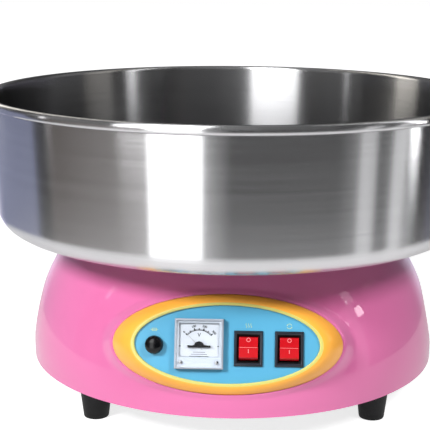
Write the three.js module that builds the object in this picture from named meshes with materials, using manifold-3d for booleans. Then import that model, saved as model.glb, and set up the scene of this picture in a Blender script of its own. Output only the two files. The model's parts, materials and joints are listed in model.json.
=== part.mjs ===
// Electric sugar-floss machine: a stainless bowl that lifts off a moulded pink housing, with a heated
// spinner head on a motor shaft and an oval control panel at the front.
// Millimetres, +Z up, front towards -Y, origin on the table under the centre of the bowl.

import * as THREE from 'three';
import { mergeVertices } from 'three/addons/utils/BufferGeometryUtils.js';
import Module from 'manifold-3d';

const wasm = await Module();
wasm.setup();

// Clearances
const gap = 0.3;
const shaftGap = 0.4;
const headGap = 14;

// Facets round a full turn
const roundLarge = 36;
const roundHead = 24;
const roundHidden = 24;
const roundMedium = 16;
const roundSmall = 12;
const roundTiny = 8;

// Feet
const footHeight = 32.7;
const footTopRadius = 16;
const footBottomRadius = 12.5;
const footInset = 21.5;
const footAngle = 45;
const footTwist = 2.4;
const footEdge = 1;
const footRim = 2;
const footRecessRadius = 7;
const footRecessDepth = 20;
const footRecessTaper = 3;
const footNeckRadius = 4.5;
const footBarbRadius = 6.5;
const footBarbLength = 7;

// Base plate and its screws
const plateThickness = 2;
const plateRecess = 3;
const screwInset = 15;
const screwShankRadius = 1.8;
const screwBossRadius = 5;
const screwBossHeight = 16;
const screwAngles = [65, 115, 245, 295];
const ventSlotWidth = 5;
const ventSlotLength = 40;
const ventSlotCount = 8;
const ventSlotStart = 105;
const ventSlotTurn = 15;

// Moulded housing: a skirt, an elliptical dome and a flat deck
const domeRadius = 215;
const domeRise = 199;
const skirtHeight = 8;
const deckHeight = 138.6;
const deckCorner = 11;
const shellWall = 3;
const deckHoleRadius = 16;

// Side vent recesses
const ventHalfWidth = 45;
const ventHalfHeight = 35;
const ventDepth = 9;
const ventDraft = 0.3;
const ventHeight = 43;
const ventTilt = 11;
const louvreCount = 4;
const louvreHeight = 5.5;
const louvrePitch = 13;
const louvreMargin = 7;

// The flare that fairs the panel's raised oval into the dome, as [outward, down] steps from the bezel's edge
const flareSteps = [[1.5, 0], [4, 5], [10, 16], [22, 40]];

// Control panel, measured in its own plane: u to the right, v up the slope, w out of the panel
const panelSink = 1.5;
const panelHeight = 68;
const panelSlope = 18;
const panelHalfWidth = 85.3;
const panelHalfHeight = 35.8;
const panelLedge = 4;
const panelThickness = 2;
const bezelHalfWidth = 108;
const bezelHalfHeight = 46.3;
const bezelDrop = 5;
const bezelFollow = 0.455;
const bezelEdge = 1.4;
const bezelLip = 2.2;
const bezelSpigot = 3;
const openingHalfWidth = 96;
const openingHalfHeight = 42.9;

// Voltmeter
const meterU = -25.6;
const meterV = 0.2;
const meterWidth = 45;
const meterHeight = 46;
const meterDepth = 7;
const meterBevel = 1.2;
const meterWall = 4;
const meterFloor = 2;
const meterBack = 2;
const meterWindow = 1;
const meterWindowSink = 0.4;
const meterBarrelRadius = 18;
const meterBarrelWall = 6;
const meterBarrelDepth = 22;
const meterStrip = 11;
const meterScrewRadius = 1;
const meterScrewInset = 4;
const dialThickness = 0.6;
const dialHoleRadius = 1.4;
const needleV = -2.3;
const needleLength = 16.5;
const needleTail = 4;
const needleWidth = 0.9;
const needleTip = 0.3;
const needleThickness = 0.5;
const needleHubRadius = 1.8;
const needlePinRadius = 0.6;
const needleStart = 135;
const bridgeRadius = 4.6;
const bridgeLength = 21;
const bridgeBar = 1.8;
const bridgeLeg = 2;

// Rocker switches
const switchU = [19.8, 57.3];
const switchV = -3.4;
const switchWidth = 26.5;
const switchHeight = 32.5;
const switchRim = 2;
const switchChamfer = 0.8;
const switchBodyWidth = 21.6;
const switchBodyHeight = 28;
const switchBodyDepth = 22;
const switchCavity = 5.5;
const switchBladePitch = 8;
const switchBladeLength = 9;
const switchBladeWidth = 4.8;
const switchBladeThickness = 0.8;
const switchWindowWidth = 18.3;
const switchWindowHeight = 23.4;
const rockerAxisDepth = 1.5;
const rockerHeight = 6;
const rockerHollow = 0.8;
const rockerBelly = 3;
const rockerSide = 0.5;
const rockerEnd = 0.9;
const rockerEndAngle = 8;
const rockerTilt = 9;
const rockerPinRadius = 1.4;

// Fuse holder
const fuseU = -67.2;
const fuseV = -1.4;
const fuseCapRadius = 8.2;
const fuseCapHeight = 7;
const fuseFlange = 1.7;
const fuseBarrelRadius = 6;
const fuseBarrelDepth = 28;
const fuseBarrelEnd = 1.5;
const fuseNutRim = 4;
const fuseNutHeight = 4;
const fuseTubeRadius = 3;
const fuseLength = 26;
const fuseCapEdge = 2;
const carrierWall = 0.6;
const carrierProud = 1.2;
const carrierLength = 7;
const carrierPlay = 0.4;

// Cable gland in the rear wall
const glandHeight = 24;
const glandTilt = 5;
const glandRadius = 11;
const glandFlange = 4;
const glandBarrelRadius = 8;
const glandBoreRadius = 4.5;
const glandInside = 12;
const glandNose = 13;
const glandNoseTaper = 1;
const glandSpotFace = 3;
const glandSeat = 0.2;
const glandNutHeight = 4;

// Bowl
const gasketThickness = 2.4;
const gasketRadius = 125;
const gasketWidth = 14;
const bowlSheet = 1.2;
const bowlHeight = 137.7;
const bowlWallTop = 253.6;
const bowlWallBottom = 249;
const bowlCorner = 22;
const bowlRimWidth = 7.2;
const bowlRimHeight = 9.4;
const collarHeight = 22;
const collarFillet = 5;
const pegRadius = 3;
const pegRingRadius = 106;
const pegHeight = 9;
const pegAngles = [90, 210, 330];

// Drive
const mountRadius = 8;
const mountRingRadius = 58;
const mountHeight = 27;
const mountStudRadius = 2.5;
const mountRivetHeight = 1.5;
const mountNutHeight = 2.5;
const bracketThickness = 2.5;
const bracketRadius = 70;
const bracketHoleMargin = 6;
const bellHeight = 13;
const bellFloor = 2;
const bellWall = 4;
const bellCollar = 4;
const bellShaftRoom = 2;
const motorRadius = 46;
const motorWall = 2;
const motorHeadroom = 12.3;
const motorEarRadius = 6;
const motorBoltRing = 51;
const motorBoltAngles = [0, 180];
const motorBoltRadius = 2;
const motorBoltTail = 6;
const motorBoltHead = 3;
const rotorRadius = 26.1;
const airGap = 0.9;
const statorMargin = 8;
const rotorMargin = 10;
const bearingRadius = 13;
const bearingHeight = 8;
const shaftRadius = 6;
const shaftBore = 2.5;
const shaftClear = 3;
const shaftProud = 8;
const sleeveMargin = 1;
const slipRingMargin = 1.5;
const slipRingRadius = 12;
const slipRingHeight = 5;
const slipRingPitch = 8;
const slipSleeveRadius = 9;
const brushSize = 5;
const brushLength = 14;
const brushHolderGap = 3;
const brushHolderWidth = 16;
const brushHolderEnd = 6;

// Spinner head
const headRise = 33;
const headRadius = 78;
const hubRadius = 26;
const hubNeckRadius = 13;
const hubHeight = 12;
const hubFlange = 4;
const headFloor = 2;
const headCorner = 3;
const headWall = 1.5;
const headLip = 6;
const screenInset = 8;
const screenWall = 1.2;
const screenHeight = 31;
const screenSlots = 12;
const screenSlotWidth = 4;
const screenSlotMargin = 4;
const heaterInset = 20;
const heaterTube = 3.5;
const heaterLift = 15;
const heaterBend = 8;
const heaterGapAngle = 24;
const heaterLeadDrop = 8;
const heaterHoleMargin = 1;
const heaterPostRadius = 4.5;
const heaterPostTaper = 1;
const heaterPostStart = 30;
const coverEdge = 3;
const coverCone = 7;
const coverLand = 8;
const coverBrim = 5;
const sugarHoleRadius = 30;
const sugarFunnel = 6;
const sugarFunnelWall = 1.5;
const shaftNutWidth = 20;
const shaftNutHeight = 6;
const studRadius = 1.5;
const studProud = 5;
const studInset = 3.8;
const shieldRadius = 84;
const shieldThickness = 1;
const shieldLip = 3;
const shieldHoleMargin = 2;
const shieldPegRadius = 1.5;
const shieldPegHeight = 1.5;
const shieldPegRing = 72;
const shieldPegAngles = [30, 150, 270];

// Levels worked out from the sizes above
const plateBottom = footHeight + gap;
const plateTop = plateBottom + plateThickness;
const shellBottom = plateBottom - plateRecess;
const domeBase = shellBottom + skirtHeight;
const deckTop = shellBottom + deckHeight;
const bowlFloor = deckTop + gasketThickness + 2 * gap;
const bowlTop = bowlFloor + bowlHeight;
const bracketBottom = plateTop + 2 * gap + mountHeight;
const bracketTop = bracketBottom + bracketThickness;
const lowerBellBottom = bracketTop + gap;
const canBottom = lowerBellBottom + bellHeight + gap;
const canTop = deckTop - shellWall - motorHeadroom - motorBoltHead - bellHeight - 2 * gap;
const upperBellBottom = canTop + gap;
const upperBellTop = upperBellBottom + bellHeight;
const headBottom = deckTop + headRise;
const headTop = headBottom + headFloor;
const screenBottom = headTop + gap;
const coverBottom = screenBottom + screenHeight + gap;

// Radii and places worked out from the sizes above
const collarRadius = headRadius + headGap;
const screenRadius = headRadius - screenInset;
const heaterRadius = headRadius - heaterInset;
const studRing = headRadius - studInset;
const footRingRadius = domeRadius - footInset;
const screwRingRadius = domeRadius - screwInset;
const statorInner = rotorRadius + airGap;
const domeRadiusAt = (z, inset = 0) => (
  (domeRadius - inset) * Math.sqrt(1 - ((z - domeBase) / (domeRise - inset)) ** 2)
);
const panelRadius = domeRadiusAt(shellBottom + panelHeight);
const panelDepth = panelRadius - panelSink;
const bezelWrap = bezelFollow * (panelRadius - Math.sqrt(panelRadius ** 2 - bezelHalfWidth ** 2));
const radians = THREE.MathUtils.degToRad;

// Finishes
function finish(color, roughness, metalness, extra = {}) {
  return new THREE.MeshStandardMaterial({ color, roughness, metalness, flatShading: true, ...extra });
}
const finishes = {
  pink: finish(0xe86aa6, 0.18, 0),
  yellow: finish(0xffc64a, 0.3, 0),
  blue: finish(0x5cbce8, 0.3, 0),
  white: finish(0xf2f2ee, 0.35, 0),
  black: finish(0x101012, 0.3, 0),
  slate: finish(0x23272b, 0.35, 0),
  red: finish(0xd2201c, 0.25, 0),
  rubber: finish(0x18181a, 0.8, 0),
  stainless: finish(0xb9bbbd, 0.3, 1),
  steel: finish(0x9a9da0, 0.45, 1),
  aluminium: finish(0xc4c6c9, 0.4, 1),
  brass: finish(0xc79a4a, 0.35, 1),
  copper: finish(0xb8693d, 0.35, 1),
  carbon: finish(0x2a2a2c, 0.7, 0),
  ceramic: finish(0xe9e2d2, 0.6, 0),
  phenolic: finish(0x6b3a20, 0.5, 0),
  glass: finish(0xe6f0f2, 0.05, 0, { transparent: true, opacity: 0.35 }),
};

// Geometry helpers
function signedVolume(geometry) {
  const position = geometry.getAttribute('position');
  const [a, b, c] = [new THREE.Vector3(), new THREE.Vector3(), new THREE.Vector3()];
  let volume = 0;
  for (let i = 0; i < geometry.index.count; i += 3) {
    a.fromBufferAttribute(position, geometry.index.getX(i));
    b.fromBufferAttribute(position, geometry.index.getX(i + 1));
    c.fromBufferAttribute(position, geometry.index.getX(i + 2));
    volume += a.dot(b.cross(c)) / 6;
  }
  return volume;
}

// Welds shared corners, drops collapsed triangles and turns the faces outwards
function weld(geometry) {
  const bare = new THREE.BufferGeometry();
  bare.setAttribute('position', geometry.getAttribute('position'));
  bare.setIndex(geometry.index);
  const merged = mergeVertices(bare, 1e-4);
  const kept = [];
  for (let i = 0; i < merged.index.count; i += 3) {
    const [a, b, c] = [0, 1, 2].map((k) => merged.index.getX(i + k));
    if (a !== b && b !== c && c !== a) kept.push(a, b, c);
  }
  merged.setIndex(kept);
  if (signedVolume(merged) < 0) merged.setIndex(kept.reverse());
  return merged;
}

function toSolid(geometry) {
  const welded = weld(geometry);
  return new wasm.Manifold(new wasm.Mesh({
    numProp: 3,
    vertProperties: new Float32Array(welded.getAttribute('position').array),
    triVerts: new Uint32Array(welded.index.array),
  }));
}

function toGeometry(solid) {
  const mesh = solid.getMesh();
  const geometry = new THREE.BufferGeometry();
  geometry.setAttribute('position', new THREE.BufferAttribute(mesh.vertProperties, 3));
  geometry.setIndex(new THREE.BufferAttribute(mesh.triVerts, 1));
  return geometry;
}

function join(...geometries) {
  return toGeometry(geometries.map(toSolid).reduce((sum, next) => sum.add(next)));
}

function cut(base, ...tools) {
  return toGeometry(tools.map(toSolid).reduce((rest, tool) => rest.subtract(tool), toSolid(base)));
}

function common(a, b) {
  return toGeometry(toSolid(a).intersect(toSolid(b)));
}

// Revolves a profile of [radius, height] points about the vertical axis. A profile that doesn't start and
// end on the axis is closed on itself
function revolve(profile, segments) {
  const points = profile.map(([radius, height]) => new THREE.Vector2(radius, height));
  const onAxis = points[0].x === 0 && points[points.length - 1].x === 0;
  if (!onAxis) points.push(points[0].clone());
  return weld(new THREE.LatheGeometry(points, segments).rotateX(Math.PI / 2));
}

function rod(radius, bottom, top, segments) {
  return revolve([[0, bottom], [radius, bottom], [radius, top], [0, top]], segments);
}

function ring(inner, outer, bottom, top, segments) {
  return revolve([[inner, bottom], [outer, bottom], [outer, top], [inner, top]], segments);
}

function hexagon(acrossFlats, bottom, top) {
  return rod(acrossFlats / Math.sqrt(3), bottom, top, 6);
}

function block([x0, x1], [y0, y1], [z0, z1]) {
  const box = new THREE.BoxGeometry(x1 - x0, y1 - y0, z1 - z0);
  return weld(box.translate((x0 + x1) / 2, (y0 + y1) / 2, (z0 + z1) / 2));
}

function moved(geometry, x, y, z = 0) {
  return geometry.clone().translate(x, y, z);
}

function turned(geometry, degrees) {
  return geometry.clone().rotateZ(radians(degrees));
}

// Copies of a geometry on a circle, one at each angle in degrees from +X
function onRing(geometry, radius, angles) {
  return angles.map((angle) => turned(moved(geometry, radius, 0), angle));
}

function evenAngles(count, start = 0) {
  return Array.from({ length: count }, (_, i) => start + (360 * i) / count);
}

function arc(centre, radius, from, to, steps) {
  return Array.from({ length: steps + 1 }, (_, i) => {
    const angle = radians(from + ((to - from) * i) / steps);
    return [centre[0] + radius[0] * Math.cos(angle), centre[1] + radius[1] * Math.sin(angle)];
  });
}

// One closed loop of an oval, with its height given by a function of the angle round it
function oval(halfWidth, halfHeight, height, segments = roundLarge) {
  return Array.from({ length: segments }, (_, i) => {
    const angle = (2 * Math.PI * i) / segments;
    const w = typeof height === 'function' ? height(angle) : height;
    return new THREE.Vector3(halfWidth * Math.cos(angle), halfHeight * Math.sin(angle), w);
  });
}

function oblong(width, height, w) {
  const [x, y] = [width / 2, height / 2];
  return [[x, -y], [x, y], [-x, y], [-x, -y]].map(([u, v]) => new THREE.Vector3(u, v, w));
}

// Skins a stack of loops that all have the same number of points. A hollow stack joins its last loop to
// its first, and any other is capped at both ends
function skin(loops, hollow = false) {
  const count = loops[0].length;
  const points = loops.flat();
  const index = [];
  const spans = hollow ? loops.length : loops.length - 1;
  for (let row = 0; row < spans; row += 1) {
    const next = (row + 1) % loops.length;
    for (let i = 0; i < count; i += 1) {
      const j = (i + 1) % count;
      const [a, b, c, d] = [row * count + i, row * count + j, next * count + j, next * count + i];
      index.push(a, b, c, a, c, d);
    }
  }
  if (!hollow) {
    for (const [row, flip] of [[0, true], [loops.length - 1, false]]) {
      const centre = points.length;
      points.push(loops[row].reduce((sum, p) => sum.add(p), new THREE.Vector3()).divideScalar(count));
      for (let i = 0; i < count; i += 1) {
        const [a, b] = [row * count + i, row * count + ((i + 1) % count)];
        index.push(...(flip ? [centre, b, a] : [centre, a, b]));
      }
    }
  }
  const geometry = new THREE.BufferGeometry().setFromPoints(points);
  geometry.setIndex(index);
  return weld(geometry);
}

// Extrudes an outline of [x, y] points upwards
function extrude(outline, bottom, top) {
  const shape = new THREE.Shape(outline.map(([x, y]) => new THREE.Vector2(x, y)));
  const solid = new THREE.ExtrudeGeometry(shape, { depth: top - bottom, bevelEnabled: false });
  return weld(indexed(solid.translate(0, 0, bottom)));
}

function indexed(geometry) {
  if (!geometry.index) {
    geometry.setIndex(Array.from({ length: geometry.getAttribute('position').count }, (_, i) => i));
  }
  return geometry;
}

// Scene graph
const machine = new THREE.Group();
const panel = new THREE.Group();
panel.position.set(0, -panelDepth, shellBottom + panelHeight);
panel.rotation.x = Math.PI / 2 - radians(panelSlope);
panel.updateMatrix();
machine.add(panel);

function node(name, geometry, material, parent = machine) {
  const mesh = new THREE.Mesh(geometry, material);
  mesh.name = name;
  parent.add(mesh);
  return mesh;
}

function onPanel(geometry) {
  return geometry.clone().applyMatrix4(panel.matrix);
}

// Housing shell

// The dome's outline, from the axis under it to the axis on its deck, drawn in by a wall thickness
function domeProfile(inset, bottom, steps, bendSteps) {
  const deck = deckTop - inset;
  const shoulder = deck - deckCorner;
  const radiusAt = (z) => domeRadiusAt(z, inset);
  const profile = [[0, bottom], [domeRadius - inset, bottom]];
  for (let i = 0; i <= steps; i += 1) {
    const z = domeBase + ((shoulder - domeBase) * i) / steps;
    profile.push([radiusAt(z), z]);
  }
  const bend = new THREE.QuadraticBezierCurve(
    new THREE.Vector2(radiusAt(shoulder), shoulder),
    new THREE.Vector2(radiusAt(deck - deckCorner / 4), deck),
    new THREE.Vector2(radiusAt(deck) - deckCorner, deck),
  );
  profile.push(...bend.getPoints(bendSteps).slice(1).map((p) => [p.x, p.y]), [0, deck]);
  return profile;
}

// Height of the bezel's outer edge: it wraps back towards the dome at the oval's two ends
function bezelFoot(angle) {
  return -bezelDrop - bezelWrap * Math.cos(angle) ** 2;
}

function panelFlare(inset, segments) {
  const loops = flareSteps.map(([out, down]) => oval(
    bezelHalfWidth + out - inset,
    bezelHalfHeight + out - inset,
    (angle) => bezelFoot(angle) - down - inset,
    segments,
  ));
  const space = block([-domeRadius, domeRadius], [-domeRadius, 0], [shellBottom, deckTop]);
  return common(onPanel(skin(loops)), space);
}

// The seat and the opening that the bezel drops into
function bezelSeat() {
  const reach = 40;
  return onPanel(skin([
    oval(bezelHalfWidth + gap, bezelHalfHeight + gap, reach),
    oval(bezelHalfWidth + gap, bezelHalfHeight + gap, (angle) => bezelFoot(angle) - gap),
    oval(openingHalfWidth, openingHalfHeight, (angle) => bezelFoot(angle) - gap),
    oval(openingHalfWidth, openingHalfHeight, -2 * reach),
  ]));
}

// Places a shape drawn about +Z on the side wall, facing out along +X, and on the other side too
function onSides(geometry) {
  const z = shellBottom + ventHeight;
  const side = geometry.clone().rotateZ(Math.PI / 2).rotateY(Math.PI / 2 - radians(ventTilt));
  side.translate(domeRadiusAt(z), 0, z);
  return [side, turned(side, 180)];
}

function ventRecess(grow) {
  const reach = 24;
  const floor = -ventDepth - grow;
  const draft = (w) => (w * ventDraft) + grow;
  return onSides(skin([
    oval(ventHalfWidth + draft(floor), ventHalfHeight + draft(floor), floor, roundMedium),
    oval(ventHalfWidth + draft(reach), ventHalfHeight + draft(reach), reach, roundMedium),
  ]));
}

function louvres() {
  const slots = [];
  for (let i = 0; i < louvreCount; i += 1) {
    const v = (i - (louvreCount - 1) / 2) * louvrePitch;
    const half = (ventHalfWidth - louvreMargin) * Math.sqrt(1 - (v / ventHalfHeight) ** 2);
    const across = [v - louvreHeight / 2, v + louvreHeight / 2];
    slots.push(...onSides(block([-half, half], across, [-ventDepth - 3 * shellWall, -ventDepth + 1])));
  }
  return slots;
}

function screwBosses(outer) {
  const top = plateTop + gap + screwBossHeight;
  const boss = join(
    rod(screwBossRadius, plateTop + gap, top, roundTiny),
    block([0, domeRadius - screwRingRadius], [-shellWall / 2, shellWall / 2], [plateTop + gap, top]),
  );
  return common(join(...onRing(boss, screwRingRadius, screwAngles)), outer);
}

// Places a shape drawn about +Z on the rear wall, facing out along +Y
function glandPlaced(geometry) {
  const z = shellBottom + glandHeight;
  const tilt = radians(glandTilt) - Math.PI / 2;
  return geometry.clone().rotateX(tilt).translate(0, domeRadiusAt(z) + glandSeat, z);
}

function deckPegs() {
  const bowlPeg = rod(pegRadius, deckTop - 1, deckTop + pegHeight, roundTiny);
  const shieldPeg = rod(shieldPegRadius, deckTop - 1, deckTop + shieldThickness + shieldPegHeight, roundTiny);
  return [
    ...onRing(bowlPeg, pegRingRadius, pegAngles),
    ...onRing(shieldPeg, shieldPegRing, shieldPegAngles),
  ];
}

function housingShell() {
  const outer = join(revolve(domeProfile(0, shellBottom, 6, 2), roundLarge), panelFlare(0, roundLarge));
  const hollow = revolve(domeProfile(shellWall, shellBottom - 1, 3, 1), roundHidden);
  const inner = join(hollow, panelFlare(shellWall, roundMedium));
  const pockets = ventRecess(shellWall).map((pocket) => common(pocket, outer));
  const walls = join(cut(outer, inner), ...pockets, screwBosses(outer), ...deckPegs());
  const deckHole = rod(deckHoleRadius, deckTop - 2 * deckCorner, deckTop + 1, roundMedium);
  const pilots = onRing(
    rod(screwShankRadius + gap, plateTop, plateTop + screwBossHeight - 1, roundTiny),
    screwRingRadius,
    screwAngles,
  );
  const glandHole = join(
    rod(glandBarrelRadius + gap, -2 * glandInside, 2 * glandInside, roundSmall),
    rod(glandRadius + glandSpotFace, -2 * glandInside, -shellWall, roundSmall),
  );
  return cut(
    walls, bezelSeat(), ...ventRecess(0), ...louvres(), deckHole, ...pilots, glandPlaced(glandHole),
  );
}

node('housing_shell', housingShell(), finishes.pink);

// Base plate and feet. The plate sits turned a little against the panel, and the feet turn with it
const feet = {
  foot_front_left: 270 - footAngle + footTwist,
  foot_front_right: 270 + footAngle + footTwist,
  foot_rear_left: 90 + footAngle + footTwist,
  foot_rear_right: 90 - footAngle + footTwist,
};

function basePlate() {
  const disc = rod(domeRadius - shellWall - gap, plateBottom, plateTop, roundHidden);
  const through = [plateBottom - 1, plateTop + 1];
  const [halfLength, halfWidth] = [ventSlotLength / 2, ventSlotWidth / 2];
  const slot = block([-halfLength, halfLength], [-halfWidth, halfWidth], through);
  return cut(
    disc,
    ...onRing(slot, ventSlotStart + halfLength, evenAngles(ventSlotCount, ventSlotTurn)),
    ...onRing(rod(screwShankRadius + gap, ...through, roundTiny), screwRingRadius, screwAngles),
    ...onRing(rod(footNeckRadius + gap, ...through, roundSmall), footRingRadius, Object.values(feet)),
    ...onRing(rod(mountStudRadius + gap, ...through, roundTiny), mountRingRadius, evenAngles(4, 45)),
  );
}
node('base_plate', basePlate(), finishes.steel);

// A hollow rubber foot whose barbed neck is pushed up through the base plate
function foot() {
  return revolve([
    [0, footRecessDepth], [footRecessRadius, footRecessDepth - footRecessTaper], [footRecessRadius, 0],
    [footBottomRadius - footEdge, 0], [footBottomRadius, footEdge], [footTopRadius, footHeight - footRim],
    [footTopRadius, footHeight], [footNeckRadius, footHeight], [footNeckRadius, plateTop + gap],
    [footBarbRadius, plateTop + gap], [footNeckRadius - footEdge, plateTop + footBarbLength],
    [0, plateTop + footBarbLength],
  ], roundSmall);
}
for (const [name, angle] of Object.entries(feet)) {
  node(name, onRing(foot(), footRingRadius, [angle])[0], finishes.rubber);
}

// Cable gland, bare because the cord isn't part of the model
const glandBody = revolve([
  [glandBoreRadius, -glandInside], [glandBarrelRadius, -glandInside], [glandBarrelRadius, gap],
  [glandRadius, gap], [glandRadius, glandFlange], [glandBarrelRadius, glandFlange + glandNoseTaper],
  [glandBarrelRadius - glandNoseTaper, glandNose], [glandBoreRadius, glandNose],
], roundSmall);
node('cable_gland', glandPlaced(glandBody), finishes.black);
const glandNutTop = -shellWall - 3 * gap;
const glandNut = cut(
  hexagon(2 * glandRadius, glandNutTop - glandNutHeight, glandNutTop),
  rod(glandBarrelRadius + gap, -glandInside, 0, roundSmall),
);
node('gland_nut', glandPlaced(glandNut), finishes.black);

// Bezel ring and panel plate
function bezelRing() {
  const between = (t) => [
    panelHalfWidth + (bezelHalfWidth - panelHalfWidth) * t,
    panelHalfHeight + (bezelHalfHeight - panelHalfHeight) * t,
  ];
  const rise = (share) => (angle) => bezelLip + (bezelFoot(angle) + bezelEdge - bezelLip) * share;
  const ledge = [panelHalfWidth + panelLedge + gap, panelHalfHeight + panelLedge + gap];
  const spigot = [openingHalfWidth - gap, openingHalfHeight - gap];
  const seat = (angle) => bezelFoot(angle) - bezelSpigot;
  return skin([
    oval(bezelHalfWidth, bezelHalfHeight, bezelFoot),
    oval(bezelHalfWidth, bezelHalfHeight, rise(1)),
    oval(...between(0.72), rise(0.56)),
    oval(...between(0.4), rise(0.22)),
    oval(...between(0.2), rise(0.02)),
    oval(...between(0.05), rise(0)),
    oval(panelHalfWidth, panelHalfHeight, gap),
    oval(...ledge, gap),
    oval(...ledge, seat),
    oval(...spigot, seat),
    oval(...spigot, bezelFoot),
  ], true);
}
node('bezel_ring', bezelRing(), finishes.yellow, panel);

function controlPanel() {
  const through = [-panelThickness - 1, 1];
  const plate = skin([
    oval(panelHalfWidth + panelLedge, panelHalfHeight + panelLedge, -panelThickness),
    oval(panelHalfWidth + panelLedge, panelHalfHeight + panelLedge, 0),
  ]);
  const [halfWidth, halfHeight] = [switchBodyWidth / 2 + gap, switchBodyHeight / 2 + gap];
  const window = block([-halfWidth, halfWidth], [-halfHeight, halfHeight], through);
  return cut(
    plate,
    ...switchU.map((u) => moved(window, u, switchV)),
    moved(rod(meterBarrelRadius + gap, ...through, roundMedium), meterU, meterV),
    moved(rod(fuseBarrelRadius + gap, ...through, roundSmall), fuseU, fuseV),
  );
}
node('control_panel', controlPanel(), finishes.blue, panel);

// Voltmeter, drawn about its own centre
const meter = new THREE.Group();
meter.position.set(meterU, meterV, 0);
panel.add(meter);
const windowTop = meterDepth - meterWindowSink;
const windowBottom = windowTop - meterWindow;
const windowU = (meterWidth - meterWall) / 2;
const windowV = (meterHeight - meterWall) / 2;
const dialBottom = meterFloor + gap;
const dialTop = dialBottom + dialThickness;
const needleBottom = dialTop + gap;
const needleTop = needleBottom + needleThickness;
const cavityU = meterWidth / 2 - meterWall;
const cavityTop = meterHeight / 2 - meterWall;
const cavityBottom = -meterHeight / 2 + meterStrip;
const movementRadius = meterBarrelRadius - meterBarrelWall;
const movementTop = meterFloor - 3;
const movementV = needleV + 2;
const meterScrewU = windowU - meterScrewInset;
const meterScrewSpots = [-meterScrewU, meterScrewU].map((u) => [u, -windowV + meterScrewInset]);

function meterScrewHoles(bottom) {
  const hole = rod(meterScrewRadius + gap, bottom, meterDepth + 1, roundTiny);
  return meterScrewSpots.map(([u, v]) => moved(hole, u, v));
}

function meterCase() {
  const body = skin([
    oblong(meterWidth, meterHeight, gap),
    oblong(meterWidth, meterHeight, meterDepth - meterBevel),
    oblong(meterWidth - 2 * meterBevel, meterHeight - 2 * meterBevel, meterDepth),
  ]);
  const [seatU, seatV] = [windowU + gap, windowV + gap];
  const movementBore = rod(movementRadius, -meterBarrelDepth + meterBack, meterFloor + 1, roundSmall);
  return cut(
    join(body, rod(meterBarrelRadius, -meterBarrelDepth, 2 * gap, roundMedium)),
    block([-cavityU, cavityU], [cavityBottom, cavityTop], [meterFloor, meterDepth + 1]),
    block([-seatU, seatU], [-seatV, seatV], [windowBottom - gap, meterDepth + 1]),
    moved(movementBore, 0, movementV),
    ...meterScrewHoles(meterFloor),
  );
}
node('voltmeter_case', meterCase(), finishes.white, meter);

const dialPlate = cut(
  block([-cavityU + gap, cavityU - gap], [cavityBottom + gap, cavityTop - gap], [dialBottom, dialTop]),
  moved(rod(dialHoleRadius, 0, meterDepth, roundTiny), 0, needleV),
);
node('voltmeter_dial', dialPlate, finishes.white, meter);

const windowPlate = cut(
  block([-windowU, windowU], [-windowV, windowV], [windowBottom, windowTop]),
  ...meterScrewHoles(0),
);
node('voltmeter_window', windowPlate, finishes.glass, meter);

const movement = rod(movementRadius - gap, -meterBarrelDepth + meterBack + gap, movementTop, roundSmall);
node('voltmeter_movement', moved(movement, 0, movementV), finishes.steel, meter);

// Bridge over the needle's hub: a half disc and a bar on two short legs that stand on the dial
function meterBridge() {
  const top = windowBottom - gap;
  const bottom = needleTop + gap;
  const half = bridgeLength / 2;
  const across = [-bridgeBar / 2, bridgeBar / 2];
  const disc = rod(bridgeRadius, bottom, top, roundMedium);
  const upperHalf = common(disc, block([-half, half], [0, half], [0, meterDepth]));
  const leg = block([half - bridgeLeg, half], across, [dialTop + gap, top]);
  const bar = block([-half, half], across, [bottom, top]);
  return moved(join(upperHalf, bar, leg, turned(leg, 180)), 0, needleV);
}
node('voltmeter_bridge', meterBridge(), finishes.black, meter);

function meterNeedle() {
  const [root, tip] = [needleWidth / 2, needleTip / 2];
  const blade = extrude([
    [-needleTail, -root], [0, -root], [needleLength, -tip],
    [needleLength, tip], [0, root], [-needleTail, root],
  ], needleBottom, needleTop);
  const hub = rod(needleHubRadius, needleBottom, needleTop, roundTiny);
  const pin = rod(needlePinRadius, movementTop + gap, needleTop - needleThickness / 2, roundTiny);
  return moved(turned(join(blade, hub, pin), needleStart), 0, needleV);
}
node('voltmeter_needle', meterNeedle(), finishes.black, meter);

// Rocker switches
function switchFrame() {
  const rimTop = switchRim + gap;
  const rim = skin([
    oblong(switchWidth, switchHeight, gap),
    oblong(switchWidth, switchHeight, rimTop - switchChamfer),
    oblong(switchWidth - 2 * switchChamfer, switchHeight - 2 * switchChamfer, rimTop),
  ]);
  const [bodyU, bodyV] = [switchBodyWidth / 2, switchBodyHeight / 2];
  const body = block([-bodyU, bodyU], [-bodyV, bodyV], [-switchBodyDepth, 2 * gap]);
  const [openU, openV] = [switchWindowWidth / 2, switchWindowHeight / 2];
  const blade = block(
    [-switchBladeThickness / 2, switchBladeThickness / 2],
    [-switchBladeWidth / 2, switchBladeWidth / 2],
    [-switchBodyDepth - switchBladeLength, -switchBodyDepth + 1],
  );
  const blades = [-switchBladePitch, 0, switchBladePitch].map((v) => moved(blade, 0, v));
  return cut(
    join(rim, body, ...blades),
    block([-openU, openU], [-openV, openV], [-rockerAxisDepth - switchCavity, rimTop + 1]),
    acrossSwitch(rockerPinRadius + gap, switchBodyWidth + 2),
  );
}

// A rod along u through the rocker's axis
function acrossSwitch(radius, length) {
  const bar = rod(radius, -length / 2, length / 2, roundTiny);
  return bar.rotateY(Math.PI / 2).translate(0, 0, -rockerAxisDepth);
}

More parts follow.
